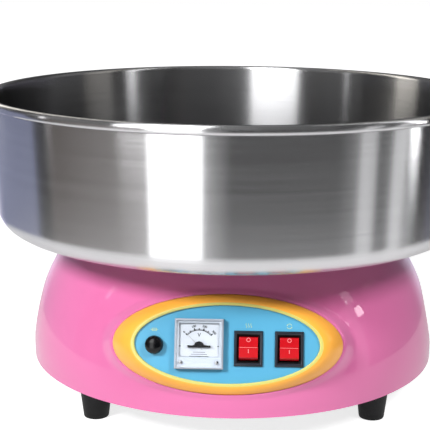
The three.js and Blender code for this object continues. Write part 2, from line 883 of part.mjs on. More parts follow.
// The rocker in its off position, with its upper end pressed in
function rockerPaddle() {
  const halfWidth = switchWindowWidth / 2 - rockerSide;
  const reach = switchWindowHeight / 2 - rockerEnd;
  const end = (angle) => [reach * Math.cos(radians(angle)), reach * Math.sin(radians(angle))];
  const topAngle = THREE.MathUtils.radToDeg(Math.asin(rockerHeight / reach));
  const rightEnd = [-rockerEndAngle, rockerEndAngle, topAngle].map(end);
  const leftEnd = rightEnd.map(([x, y]) => [-x, y]).reverse();
  const outline = [[0, -rockerBelly], ...rightEnd, [0, rockerHeight - rockerHollow], ...leftEnd];
  const flat = extrude(outline, -halfWidth, halfWidth);
  const upright = flat.rotateX(Math.PI / 2).rotateZ(Math.PI / 2);
  const paddle = upright.rotateX(-radians(rockerTilt)).translate(0, 0, -rockerAxisDepth);
  return join(paddle, acrossSwitch(rockerPinRadius, switchBodyWidth - 2 * gap));
}

['heater', 'motor'].forEach((use, i) => {
  node(`${use}_switch_frame`, moved(switchFrame(), switchU[i], switchV), finishes.slate, panel);
  node(`${use}_rocker`, moved(rockerPaddle(), switchU[i], switchV), finishes.red, panel);
});

// Fuse holder, drawn about its own axis
const fuse = new THREE.Group();
fuse.position.set(fuseU, fuseV, 0);
panel.add(fuse);
const flangeTop = gap + fuseFlange;
const fuseBoreRadius = fuseTubeRadius + carrierWall + 2 * gap;
const fuseBoreEnd = -fuseBarrelDepth + fuseBarrelEnd;
const carrierTop = flangeTop + carrierProud;
const fuseHolder = revolve([
  [0, -fuseBarrelDepth], [fuseBarrelRadius, -fuseBarrelDepth], [fuseBarrelRadius, gap],
  [fuseCapRadius + gap, gap], [fuseCapRadius + gap, flangeTop], [fuseBoreRadius, flangeTop],
  [fuseBoreRadius, fuseBoreEnd], [0, fuseBoreEnd],
], roundSmall);
node('fuse_holder', fuseHolder, finishes.black, fuse);
const fuseNutTop = -panelThickness - gap;
const fuseNut = cut(
  hexagon(2 * fuseBarrelRadius + fuseNutRim, fuseNutTop - fuseNutHeight, fuseNutTop),
  rod(fuseBarrelRadius + gap, -fuseBarrelDepth, 0, roundSmall),
);
node('fuse_holder_nut', fuseNut, finishes.black, fuse);
const fuseTop = carrierTop - carrierWall - gap;
const fuseTube = rod(fuseTubeRadius, fuseTop - fuseLength, fuseTop, roundSmall);
node('glass_fuse', fuseTube, finishes.glass, fuse);
const carrierInner = fuseTubeRadius + gap;
const carrierOuter = carrierInner + carrierWall;
const carrierBottom = carrierTop - carrierLength - carrierProud;
const fuseCarrier = revolve([
  [0, carrierTop - carrierWall], [carrierInner, carrierTop - carrierWall], [carrierInner, carrierBottom],
  [carrierOuter, carrierBottom], [carrierOuter, carrierTop], [0, carrierTop],
], roundSmall);
node('fuse_carrier', fuseCarrier, finishes.brass, fuse);
const capBottom = flangeTop + gap;
const capBore = carrierOuter + carrierPlay;
const fuseCap = revolve([
  [0, carrierTop + gap], [capBore, carrierTop + gap], [capBore, capBottom], [fuseCapRadius, capBottom],
  ...arc([0, capBottom + fuseCapEdge], [fuseCapRadius, fuseCapHeight - fuseCapEdge], 0, 90, 3).slice(0, -1),
  [0, capBottom + fuseCapHeight],
], roundSmall);
node('fuse_cap', fuseCap, finishes.black, fuse);

// Bowl: its outline runs down the collar and up the wall, round the rolled rim and back inside
function bowlProfile() {
  const bead = [bowlWallTop - bowlSheet + bowlRimWidth / 2, bowlTop - bowlRimHeight / 2];
  const beadHalf = [bowlRimWidth / 2, bowlRimHeight / 2];
  const beadStart = 180 + THREE.MathUtils.radToDeg(Math.acos(1 - bowlSheet / beadHalf[0]));
  const beadEnd = 180 + 360;
  const collarTop = bowlFloor + bowlSheet + collarHeight;
  const fillet = [collarRadius + collarFillet, bowlFloor + collarFillet];
  const corner = [bowlWallBottom - bowlCorner, bowlFloor + bowlCorner];
  const round = (centre, radius, from, to, steps) => arc(centre, [radius, radius], from, to, steps);
  return [
    [collarRadius, collarTop],
    ...round(fillet, collarFillet, 180, 270, 1),
    ...round(corner, bowlCorner, 270, 360, 3),
    ...arc(bead, beadHalf, beadStart, beadEnd, 7),
    ...round(corner, bowlCorner - bowlSheet, 360, 270, 3),
    ...round(fillet, collarFillet - bowlSheet, 270, 180, 1),
    [collarRadius + bowlSheet, collarTop],
  ];
}
const bowl = cut(
  revolve(bowlProfile(), roundLarge),
  ...onRing(rod(pegRadius + 2 * gap, bowlFloor - 1, bowlFloor + 3, roundTiny), pegRingRadius, pegAngles),
);
node('bowl', bowl, finishes.stainless);

// The bowl's seat on the deck
const seatBottom = deckTop + gap;
const [seatInner, seatOuter] = [gasketRadius - gasketWidth / 2, gasketRadius + gasketWidth / 2];
const gasket = ring(seatInner, seatOuter, seatBottom, seatBottom + gasketThickness, roundHidden);
node('bowl_seat_gasket', gasket, finishes.rubber);

// Heat shield on the deck, round the shaft
const shieldBottom = deckTop + gap;
const shieldTop = shieldBottom + shieldThickness;
const shieldHoleRadius = deckHoleRadius + shieldHoleMargin;
const heatShield = cut(
  revolve([
    [shieldHoleRadius, shieldBottom], [shieldRadius, shieldBottom], [shieldRadius, shieldTop + shieldLip],
    [shieldRadius - shieldThickness, shieldTop + shieldLip], [shieldRadius - shieldThickness, shieldTop],
    [shieldHoleRadius, shieldTop],
  ], roundHidden),
  ...onRing(rod(shieldPegRadius + gap, deckTop, shieldTop + 1, roundTiny), shieldPegRing, shieldPegAngles),
);
node('heat_shield', heatShield, finishes.aluminium);

// Motor mount: four bobbins of rubber on a riveted stud carry the bracket
const mountAngles = evenAngles(4, 45);
const mountBottom = plateTop + gap;
const mountTop = mountBottom + mountHeight;
const rivetTop = plateBottom - gap;
const rivetBottom = rivetTop - mountRivetHeight;
const mountNutBottom = bracketTop + gap;
const mountNutTop = mountNutBottom + mountNutHeight;
const mount = revolve([
  [0, rivetBottom], [2 * mountStudRadius, rivetBottom], [2 * mountStudRadius, rivetTop],
  [mountStudRadius, rivetTop], [mountStudRadius, mountBottom], [mountRadius, mountBottom],
  [mountRadius, mountTop], [mountStudRadius, mountTop], [mountStudRadius, mountNutBottom],
  [2 * mountStudRadius, mountNutBottom], [2 * mountStudRadius - 1, mountNutTop], [0, mountNutTop],
], roundTiny);
onRing(mount, mountRingRadius, mountAngles).forEach((piece, i) => {
  node(`motor_mount_${i + 1}`, piece, finishes.rubber);
});

// Clearance holes for the two motor bolts
function motorBoltHoles(bottom, top) {
  return onRing(rod(motorBoltRadius + gap, bottom - 1, top + 1, roundTiny), motorBoltRing, motorBoltAngles);
}

const studHole = rod(mountStudRadius + gap, bracketBottom - 1, bracketTop + 1, roundTiny);
const motorBracket = cut(
  rod(bracketRadius, bracketBottom, bracketTop, roundMedium),
  rod(slipRingRadius + bracketHoleMargin, bracketBottom - 1, bracketTop + 1, roundSmall),
  ...onRing(studHole, mountRingRadius, mountAngles),
  ...motorBoltHoles(bracketBottom, bracketTop),
);
node('motor_bracket', motorBracket, finishes.steel);

// Motor
function bell(bottom, mouthUp) {
  const top = bottom + bellHeight;
  const seat = mouthUp ? [bottom + bellFloor, top + 1] : [bottom - 1, top - bellFloor];
  const hollow = rod(motorRadius - bellWall, ...seat, roundMedium);
  const shell = cut(rod(motorRadius, bottom, top, roundMedium), hollow);
  const collar = rod(bearingRadius + bellCollar, bottom, top, roundSmall);
  const ears = onRing(rod(motorEarRadius, bottom, top, roundTiny), motorBoltRing, motorBoltAngles);
  return cut(
    join(shell, collar, ...ears),
    rod(bearingRadius + gap, ...seat, roundSmall),
    rod(shaftRadius + bellShaftRoom, bottom - 1, top + 1, roundSmall),
    ...motorBoltHoles(bottom, top),
  );
}
node('motor_lower_bell', bell(lowerBellBottom, true), finishes.aluminium);
node('motor_upper_bell', bell(upperBellBottom, false), finishes.aluminium);
const canInner = motorRadius - motorWall;
node('motor_can', ring(canInner, motorRadius, canBottom, canTop, roundMedium), finishes.steel);
const [statorBottom, statorTop] = [canBottom + statorMargin, canTop - statorMargin];
const [rotorBottom, rotorTop] = [canBottom + rotorMargin, canTop - rotorMargin];
const stator = ring(statorInner, canInner - gap, statorBottom, statorTop, roundMedium);
node('motor_stator', stator, finishes.copper);
const rotor = ring(shaftRadius + gap, rotorRadius, rotorBottom, rotorTop, roundMedium);
node('motor_rotor', rotor, finishes.steel);

const lowerBearing = lowerBellBottom + bellFloor + gap;
const upperBearing = upperBellTop - bellFloor - gap - bearingHeight;
for (const [name, z] of [['lower_bearing', lowerBearing], ['upper_bearing', upperBearing]]) {
  node(name, ring(shaftRadius + shaftGap, bearingRadius, z, z + bearingHeight, roundSmall), finishes.steel);
}

const boltBottom = bracketBottom - gap - motorBoltTail;
const boltSeat = upperBellTop + gap;
const boltTop = boltSeat + motorBoltHead;
const motorBolt = revolve([
  [0, boltBottom], [motorBoltRadius, boltBottom], [motorBoltRadius, boltSeat],
  [2 * motorBoltRadius, boltSeat], [2 * motorBoltRadius, boltTop], [0, boltTop],
], roundTiny);
onRing(motorBolt, motorBoltRing, motorBoltAngles).forEach((piece, i) => {
  node(`motor_bolt_${i + 1}`, piece, finishes.steel);
});

// Shaft with its slip rings, and the brushes that feed the heater
const shaftBottom = plateTop + shaftClear;
const shaftTop = headTop + shaftProud;
node('motor_shaft', ring(shaftBore, shaftRadius, shaftBottom, shaftTop, roundSmall), finishes.steel);
const sleeveBottom = shaftBottom + sleeveMargin;
const sleeveTop = sleeveBottom + 2 * slipRingPitch + sleeveMargin;
const sleeve = ring(shaftRadius + gap, slipSleeveRadius, sleeveBottom, sleeveTop, roundSmall);
node('slip_ring_sleeve', sleeve, finishes.phenolic);
const brush = (z, grow) => block(
  [slipRingRadius + gap - grow, slipRingRadius + brushLength + grow],
  [-brushSize / 2 - grow, brushSize / 2 + grow],
  [z - brushSize / 2 - grow, z + brushSize / 2 + grow],
);
const brushCentres = [];
['lower', 'upper'].forEach((level, i) => {
  const bottom = sleeveBottom + slipRingMargin + i * slipRingPitch;
  const centre = bottom + slipRingHeight / 2;
  brushCentres.push(centre);
  const slipRing = ring(slipSleeveRadius + gap, slipRingRadius, bottom, bottom + slipRingHeight, roundSmall);
  node(`${level}_slip_ring`, slipRing, finishes.brass);
  node(`${level}_carbon_brush`, turned(brush(centre, 0), 90), finishes.carbon);
});
const holderInner = slipRingRadius + brushHolderGap;
const brushHolder = cut(
  block(
    [holderInner, slipRingRadius + brushLength + brushHolderEnd],
    [-brushHolderWidth / 2, brushHolderWidth / 2],
    [plateTop + gap, sleeveTop + sleeveMargin],
  ),
  ...brushCentres.map((z) => brush(z, gap)),
);
node('brush_holder', turned(brushHolder, 90), finishes.phenolic);

// Spinner head
const hubTop = headBottom - gap;
const hub = revolve([
  [shaftRadius + gap, hubTop - hubHeight], [hubNeckRadius, hubTop - hubHeight],
  [hubNeckRadius, hubTop - hubFlange], [hubRadius, hubTop - hubFlange],
  [hubRadius, hubTop], [shaftRadius + gap, hubTop],
], roundMedium);
node('head_hub', hub, finishes.aluminium);

const studAngles = evenAngles(4, 0);
const heaterPostAngles = evenAngles(3, heaterPostStart);
const leadAngles = [90 - heaterGapAngle / 2, 90 + heaterGapAngle / 2];
const leadBottom = headBottom - heaterLeadDrop;

const coverLandTop = coverBottom + coverEdge;
const headDish = revolve([
  [shaftRadius + gap, headBottom], [headRadius - headCorner, headBottom],
  [headRadius, headBottom + headCorner], [headRadius, headTop + headLip],
  [headRadius - headWall, headTop + headLip], [headRadius - headWall, headTop],
  [shaftRadius + gap, headTop],
], roundHead);
const headStud = rod(studRadius, headTop - 1, coverLandTop + studProud, roundTiny);
const leadHole = rod(heaterTube + heaterHoleMargin, headBottom - 1, headTop + 1, roundSmall);
const headBase = cut(
  join(headDish, ...onRing(headStud, studRing, studAngles)),
  ...onRing(leadHole, heaterRadius, leadAngles),
);
node('head_base', headBase, finishes.aluminium);

// The heater is one tube: up through the dish, almost once round, and down again. Each bend is one mid point
function heaterPath() {
  const [start, end] = [leadAngles[1], leadAngles[0] + 360];
  const steps = 16;
  const z = headTop + heaterLift;
  const at = (angle, height) => {
    const [x, y] = [Math.cos(radians(angle)), Math.sin(radians(angle))];
    return new THREE.Vector3(heaterRadius * x, heaterRadius * y, height);
  };
  const bendAngle = THREE.MathUtils.radToDeg(heaterBend / heaterRadius);
  const cornerShare = 1 - Math.SQRT1_2;
  const cornerHeight = z - heaterBend * cornerShare;
  const [from, to] = [start + bendAngle, end - bendAngle];
  return [
    at(start, leadBottom),
    at(start, z - heaterBend),
    at(start + bendAngle * cornerShare, cornerHeight),
    ...Array.from({ length: steps + 1 }, (_, i) => at(from + ((to - from) * i) / steps, z)),
    at(end - bendAngle * cornerShare, cornerHeight),
    at(end, z - heaterBend),
    at(end, leadBottom),
  ];
}

function tube(points, radius, sides) {
  const loops = points.map((p, i) => {
    const back = points[Math.max(i - 1, 0)];
    const ahead = points[Math.min(i + 1, points.length - 1)];
    const along = ahead.clone().sub(back).normalize();
    const outward = new THREE.Vector3(p.x, p.y, 0).normalize();
    const side = along.clone().cross(outward).normalize();
    return Array.from({ length: sides }, (_, k) => {
      const a = (2 * Math.PI * k) / sides;
      const [out, across] = [radius * Math.cos(a), radius * Math.sin(a)];
      return p.clone().addScaledVector(outward, out).addScaledVector(side, across);
    });
  });
  return skin(loops);
}
node('heater_ring', tube(heaterPath(), heaterTube, 6), finishes.steel);

const postSeat = headTop + heaterLift - heaterTube - gap;
const heaterPost = revolve([
  [0, headTop + gap], [heaterPostRadius, headTop + gap],
  [heaterPostRadius - heaterPostTaper, postSeat], [0, postSeat],
], roundSmall);
onRing(heaterPost, heaterRadius, heaterPostAngles).forEach((piece, i) => {
  node(`heater_post_${i + 1}`, piece, finishes.ceramic);
});

const screenSlot = block(
  [screenRadius - screenWall, screenRadius + 2 * screenWall],
  [-screenSlotWidth / 2, screenSlotWidth / 2],
  [screenBottom + screenSlotMargin, screenBottom + screenHeight - screenSlotMargin],
);
const headScreen = cut(
  ring(screenRadius, screenRadius + screenWall, screenBottom, screenBottom + screenHeight, roundHead),
  ...evenAngles(screenSlots, 180 / roundHead).map((angle) => turned(screenSlot, angle)),
);
node('head_screen', headScreen, finishes.aluminium);

const coverTop = coverLandTop + coverCone;
const funnelBottom = coverBottom - sugarFunnel;
const brimRadius = sugarHoleRadius + coverBrim;
const headCover = cut(
  revolve([
    [sugarHoleRadius, funnelBottom], [sugarHoleRadius + sugarFunnelWall, funnelBottom],
    [brimRadius + 1, coverTop - coverBrim], [headRadius - coverLand - 2, coverBottom],
    [headRadius, coverBottom], [headRadius, coverLandTop], [headRadius - coverLand, coverLandTop],
    [brimRadius + 2, coverTop], [brimRadius - coverEdge, coverTop],
  ], roundHead),
  ...onRing(rod(studRadius + gap, coverBottom - 1, coverLandTop + 1, roundTiny), studRing, studAngles),
);
node('head_cover', headCover, finishes.aluminium);

const shaftNutBottom = headTop + gap;
const shaftNut = cut(
  hexagon(shaftNutWidth, shaftNutBottom, shaftNutBottom + shaftNutHeight),
  rod(shaftRadius + gap, headTop, shaftNutBottom + shaftNutHeight + 1, roundSmall),
);
node('shaft_nut', shaftNut, finishes.steel);

export default machine;
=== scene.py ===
"""Dresses the electric sugar-floss machine around its packed construction frame.

The frame gives the place of every piece. This script makes the fine surfaces: the moulded pink housing,
the brushed steel bowl, the oval control panel with its meter and switches, the spinner head and the rubber
feet, then the finishes, a plain studio and the camera. Sizes are in millimetres until a mesh is made.
"""

from __future__ import annotations

import json
import logging
import math
from dataclasses import dataclass, field
from enum import Enum
from typing import Callable, Sequence

import bmesh
import bpy
from mathutils import Matrix, Vector

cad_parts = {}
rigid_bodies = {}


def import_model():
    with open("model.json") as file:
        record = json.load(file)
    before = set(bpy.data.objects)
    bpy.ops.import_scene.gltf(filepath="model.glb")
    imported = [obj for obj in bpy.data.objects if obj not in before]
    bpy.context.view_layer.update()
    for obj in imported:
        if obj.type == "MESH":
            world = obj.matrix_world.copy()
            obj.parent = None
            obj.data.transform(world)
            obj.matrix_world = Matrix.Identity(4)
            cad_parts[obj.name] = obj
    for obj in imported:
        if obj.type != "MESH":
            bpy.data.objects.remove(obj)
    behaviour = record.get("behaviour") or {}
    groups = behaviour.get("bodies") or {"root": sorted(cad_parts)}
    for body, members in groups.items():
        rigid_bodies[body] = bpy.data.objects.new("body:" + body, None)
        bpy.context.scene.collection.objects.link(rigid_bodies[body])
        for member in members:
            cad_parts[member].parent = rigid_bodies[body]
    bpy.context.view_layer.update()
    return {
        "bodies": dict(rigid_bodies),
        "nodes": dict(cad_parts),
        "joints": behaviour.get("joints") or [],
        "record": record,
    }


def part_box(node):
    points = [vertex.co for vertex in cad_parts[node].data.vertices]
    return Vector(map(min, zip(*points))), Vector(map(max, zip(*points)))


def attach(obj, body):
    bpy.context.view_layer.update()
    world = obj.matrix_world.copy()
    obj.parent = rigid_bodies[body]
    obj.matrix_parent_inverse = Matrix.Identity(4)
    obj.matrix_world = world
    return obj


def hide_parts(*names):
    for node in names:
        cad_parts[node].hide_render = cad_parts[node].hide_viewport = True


log = logging.getLogger("sugar_floss_machine")

MM = 0.001
FINE = 192
ROUND = 96
SMALL_ROUND = 48
ON_AXIS = 1e-6

# What the bowl, the shield and the housing share: three pegs and three pins on circles round the axis.
PEG_COUNT = 3
PEG_RING = 106.0
PEG_START = 90.0
PIN_RING = 72.0
PIN_START = 30.0

Point = tuple[float, float, float]
Pair = tuple[float, float]
Colour = tuple[float, float, float]
Thing = bpy.types.Object
Material = bpy.types.Material
Socket = bpy.types.NodeSocket


class Body(Enum):
    """The bodies that the new pieces ride on."""

    ROOT = "root"
    SPINNER = "spinner"
    BOWL = "bowl"
    HEATER_ROCKER = "heater_rocker"
    MOTOR_ROCKER = "motor_rocker"
    FUSE_CAP = "fuse_cap"


class Slot(Enum):
    """The record's material slots."""

    PINK = "pink_plastic"
    YELLOW = "yellow_plastic"
    BLUE = "blue_plastic"
    WHITE = "white_plastic"
    DIAL = "dial_white"
    BLACK = "black_plastic"
    SLATE = "slate_plastic"
    RED = "red_plastic"
    BROWN = "brown_insulator"
    CERAMIC = "ceramic"
    CARBON = "carbon"
    RUBBER = "rubber"
    STAINLESS = "stainless"
    STEEL = "steel"
    HEATER = "heater_steel"
    ALUMINIUM = "aluminium"
    BRASS = "brass"
    COPPER = "copper"
    CLEAR = "clear_window"


class Carve(Enum):
    """What a boolean does with its second solid."""

    CUT = "DIFFERENCE"
    JOIN = "UNION"


def srgb(red: float, green: float, blue: float) -> Colour:
    """Turns a colour given as 0 to 255 display values into linear light."""
    linear = []
    for value in (red, green, blue):
        share = value / 255
        linear.append(share / 12.92 if share <= 0.04045 else ((share + 0.055) / 1.055) ** 2.4)
    return linear[0], linear[1], linear[2]


def polar(radius: float, degrees: float, height: float = 0.0) -> Point:
    """Gives the point at a radius and an angle from +X."""
    angle = math.radians(degrees)
    return radius * math.cos(angle), radius * math.sin(angle), height


def arc(centre: Pair, radii: Pair, start: float, end: float, steps: int) -> list[Pair]:
    """Gives points along part of an ellipse.

    Args:
        centre: Centre of the ellipse.
        radii: Half-axes of the ellipse.
        start: First angle in degrees.
        end: Last angle in degrees.
        steps: Number of spans between the two.

    Returns:
        The points, both ends included.
    """
    points = []
    for i in range(steps + 1):
        angle = math.radians(start + (end - start) * i / steps)
        points.append((centre[0] + radii[0] * math.cos(angle), centre[1] + radii[1] * math.sin(angle)))
    return points


def oval(
    half_width: float, half_height: float, height: Callable[[float], float], count: int = FINE
) -> list[Point]:
    """Gives one closed loop of an oval.

    Args:
        half_width: Half-axis along the first direction.
        half_height: Half-axis along the second direction.
        height: Third coordinate as a function of the angle round the oval, in radians.
        count: Number of points.

    Returns:
        The loop's points.
    """
    loop = []
    for i in range(count):
        angle = 2 * math.pi * i / count
        loop.append((half_width * math.cos(angle), half_height * math.sin(angle), height(angle)))
    return loop


def border(low: float, high: float, holds: Callable[[float], bool], steps: int = 26) -> float:
    """Finds by halving where a test that holds at the low end stops holding."""
    for _ in range(steps):
        middle = (low + high) / 2
        if holds(middle):
            low = middle
        else:
            high = middle
    return low


def oblong(width: float, length: float, corner: float, height: float, steps: int = 6) -> list[Point]:
    """Gives one closed loop of a rectangle with round corners, centred on the axis."""
    loop: list[Point] = []
    for quarter, (sx, sy) in enumerate([(1, 1), (-1, 1), (-1, -1), (1, -1)]):
        centre = (sx * (width / 2 - corner), sy * (length / 2 - corner))
        for x, y in arc(centre, (corner, corner), 90 * quarter, 90 * quarter + 90, steps):
            loop.append((x, y, height))
    return loop


def shift(x: float, y: float, z: float = 0.0) -> Matrix:
    """Gives the matrix of a move."""
    return Matrix.Translation((x, y, z))


def turn(degrees: float, axis: str) -> Matrix:
    """Gives the matrix of a turn about an axis."""
    return Matrix.Rotation(math.radians(degrees), 4, axis)


def metres(matrix: Matrix) -> Matrix:
    """Turns a matrix in millimetres into one in metres."""
    made = matrix.copy()
    made.translation = matrix.translation * MM
    return made


def linked(name: str, data: bpy.types.ID) -> Thing:
    """Makes an object of a mesh, a curve, a lamp or a camera and puts it in the scene."""
    made = bpy.data.objects.new(name, data)
    bpy.context.scene.collection.objects.link(made)
    return made


def meshed(name: str, work: bmesh.types.BMesh) -> Thing:
    """Turns a mesh in the making into an object and frees it."""
    mesh = bpy.data.meshes.new(name)
    work.to_mesh(mesh)
    work.free()
    return linked(name, mesh)


@dataclass(frozen=True)
class Box:
    """A node's box in millimetres."""

    low: Vector
    high: Vector

    @classmethod
    def of(cls, node: str) -> Box:
        """Reads a node's box from the frame."""
        low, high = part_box(node)
        return cls(Vector(low) / MM, Vector(high) / MM)

    @property
    def centre(self) -> Vector:
        """The middle of the box."""
        return (self.low + self.high) / 2

    @property
    def levels(self) -> Pair:
        """The bottom and the top of the box."""
        return self.low.z, self.high.z


class Draft:
    """A mesh in the making, in millimetres."""

    def __init__(self) -> None:
        """Starts with nothing in it."""
        self.mesh = bmesh.new()

    def _weave(self, rows: Sequence[Sequence[bmesh.types.BMVert]], closed: bool = False) -> None:
        """Joins each row of points to the next with a ring of faces, and the last to the first if closed."""
        pairs = list(zip(rows, rows[1:]))
        if closed:
            pairs.append((rows[-1], rows[0]))
        for row, after in pairs:
            for i in range(len(row)):
                j = (i + 1) % len(row)
                corners = list(dict.fromkeys((row[i], row[j], after[j], after[i])))
                if len(corners) > 2:
                    self.mesh.faces.new(corners)

    def skin(self, loops: Sequence[Sequence[Point]], hollow: bool = False, capped: bool = True) -> Draft:
        """Skins a stack of closed loops that have the same number of points.

        Args:
            loops: The loops, in order.
            hollow: Joins the last loop to the first instead of closing the ends.
            capped: Closes the two ends of a stack that isn't hollow.

        Returns:
            The draft itself.
        """
        rows = [[self.mesh.verts.new(point) for point in loop] for loop in loops]
        self._weave(rows, hollow)
        if capped and not hollow:
            self.mesh.faces.new(list(reversed(rows[0])))
            self.mesh.faces.new(rows[-1])
        return self

    def revolve(self, profile: Sequence[Pair], segments: int = ROUND) -> Draft:
        """Turns a profile of radius and height about the vertical axis.

        Args:
            profile: The profile. One that doesn't start and end on the axis closes on itself.
            segments: Facets round the full turn.

        Returns:
            The draft itself.
        """
        angles = [2 * math.pi * i / segments for i in range(segments)]
        rows = []
        for radius, height in profile:
            if radius < ON_AXIS:
                rows.append([self.mesh.verts.new((0, 0, height))] * segments)
                continue
            circle = [(radius * math.cos(a), radius * math.sin(a), height) for a in angles]
            rows.append([self.mesh.verts.new(point) for point in circle])
        on_axis = profile[0][0] < ON_AXIS and profile[-1][0] < ON_AXIS
        self._weave(rows, not on_axis)
        return self

    def rod(self, radius: float, low: float, high: float, segments: int) -> Draft:
        """Adds a plain cylinder on the vertical axis."""
        return self.revolve([(0, low), (radius, low), (radius, high), (0, high)], segments)

    def block(self, low: Point, high: Point) -> Draft:
        """Adds a box."""
        for vert in bmesh.ops.create_cube(self.mesh, size=1)["verts"]:
            vert.co = Vector([(lo + hi) / 2 + c * (hi - lo) for lo, hi, c in zip(low, high, vert.co)])
        return self

    def prism(self, outline: Sequence[Pair], bottom: float, top: float, bevel: float = 0.0) -> Draft:
        """Adds an extruded outline, with the edges of its two ends rounded when a bevel is given."""
        lower = [self.mesh.verts.new((x, y, bottom)) for x, y in outline]
        upper = [self.mesh.verts.new((x, y, top)) for x, y in outline]
        ends = [self.mesh.faces.new(list(reversed(lower))), self.mesh.faces.new(upper)]
        self._weave([lower, upper])
        if bevel:
            edges = [edge for end in ends for edge in end.edges]
            bmesh.ops.bevel(self.mesh, geom=edges, offset=bevel, segments=3, affect="EDGES", profile=0.5)
        return self

    def add(self, other: Draft) -> Draft:
        """Adds all of another draft, which ends."""
        mesh = bpy.data.meshes.new("added")
        other.mesh.to_mesh(mesh)
        other.mesh.free()
        self.mesh.from_mesh(mesh)
        bpy.data.meshes.remove(mesh)
        return self

    def moved(self, matrix: Matrix) -> Draft:
        """Moves the whole draft by a matrix in millimetres."""
        bmesh.ops.transform(self.mesh, matrix=matrix, verts=self.mesh.verts)
        return self

    def object(self, name: str, matrix: Matrix | None = None, sharp: float = 35.0) -> Thing:
        """Turns the draft into an object at the origin, in metres.

        Args:
            name: The object's name.
            matrix: A last move in millimetres.
            sharp: Angle in degrees above which an edge stays sharp.

        Returns:
            The new object.
        """
        if matrix is not None:
            self.moved(matrix)
        bmesh.ops.scale(self.mesh, vec=(MM, MM, MM), verts=self.mesh.verts)
        bmesh.ops.recalc_face_normals(self.mesh, faces=self.mesh.faces)
        made = meshed(name, self.mesh)
        smooth(made, sharp)
        return made


def smooth(piece: Thing, sharp: float = 35.0) -> None:
    """Shades a piece smooth, but keeps edges sharper than an angle in degrees."""
    piece.data.shade_smooth()
    piece.data.set_sharp_from_angle(angle=math.radians(sharp))


def coated(piece: Thing, *materials: Material) -> Thing:
    """Gives a piece these materials in place of any that it has."""
    piece.data.materials.clear()
    for material in materials:
        piece.data.materials.append(material)
    return piece


def real_mesh(piece: Thing) -> bpy.types.Mesh:
    """Gives a plain mesh of an object with all its modifiers."""
    graph = bpy.context.evaluated_depsgraph_get()
    return bpy.data.meshes.new_from_object(piece.evaluated_get(graph), depsgraph=graph)


def applied(piece: Thing) -> Thing:
    """Turns a piece and its modifiers into a plain mesh."""
    mesh = real_mesh(piece)
    piece.modifiers.clear()
    piece.data = mesh
    return piece


def carve(piece: Thing, tool: Thing, how: Carve = Carve.CUT) -> None:
    """Cuts one solid from another, or joins it to the other, and removes the tool."""
    modifier = piece.modifiers.new("carve", "BOOLEAN")
    modifier.operation = how.value
    modifier.solver = "EXACT"
    modifier.object = tool
    applied(piece)
    bpy.data.objects.remove(tool)


def merged(name: str, pieces: Sequence[Thing]) -> Thing:
    """Puts several objects' meshes into one and removes them."""
    work = bmesh.new()
    for piece in pieces:
        work.from_mesh(piece.data)
        bpy.data.objects.remove(piece)
    return meshed(name, work)


def merged_in(name: str, pieces: Sequence[Thing], material: Material) -> Thing:
    """Joins pieces and gives the result one material."""
    piece = coated(merged(name, pieces), material)
    smooth(piece)
    return piece


def refined(
    node: str,
    name: str,
    bevel: float,
    frame: dict,
    weld: float = 0.02,
    flat: float = 2.0,
    sharp: float = 30.0,
) -> Thing:
    """Makes a copy of a flat-sided node with its edges rounded.

    Args:
        node: The node whose shape is right.
        name: Name of the new piece.
        bevel: Radius of the rounding.
        weld: Distance under which points are joined.
        flat: Angle in degrees under which faces are joined.
        sharp: Angle in degrees above which an edge is rounded.

    Returns:
        The new piece, as a plain mesh.
    """
    work = bmesh.new()
    work.from_mesh(frame["nodes"][node].data)
    bmesh.ops.remove_doubles(work, verts=work.verts, dist=weld * MM)
    bmesh.ops.dissolve_limit(work, angle_limit=math.radians(flat), verts=work.verts, edges=work.edges)
    piece = meshed(name, work)
    piece.data.materials.clear()
    modifier = piece.modifiers.new("edges", "BEVEL")
    modifier.width = bevel * MM
    modifier.segments = 3
    modifier.limit_method = "ANGLE"
    modifier.angle_limit = math.radians(sharp)
    modifier.use_clamp_overlap = True
    applied(piece)
    smooth(piece, 50)
    return piece


class Wiring:
    """Adds nodes to a tree, each with its settings and its inputs in one call."""

    def __init__(self, tree: bpy.types.NodeTree) -> None:
        """Keeps the tree, emptied."""
        self.tree = tree
        self.tree.nodes.clear()

    def add(self, kind: str, inputs: dict | None = None, **settings: object) -> bpy.types.Node:
        """Adds a node with its settings and its inputs, each a value or another node's output."""
        node = self.tree.nodes.new(kind)
        for key, value in settings.items():
            setattr(node, key, value)
        for key, value in (inputs or {}).items():
            if isinstance(value, Socket):
                self.tree.links.new(value, node.inputs[key])
            else:
                node.inputs[key].default_value = value
        return node

    def sum(self, how: str, first: object, second: object = 0.0, **settings: object) -> Socket:
        """Adds a math node and gives its result."""
        return self.add("ShaderNodeMath", {0: first, 1: second}, operation=how, **settings).outputs[0]


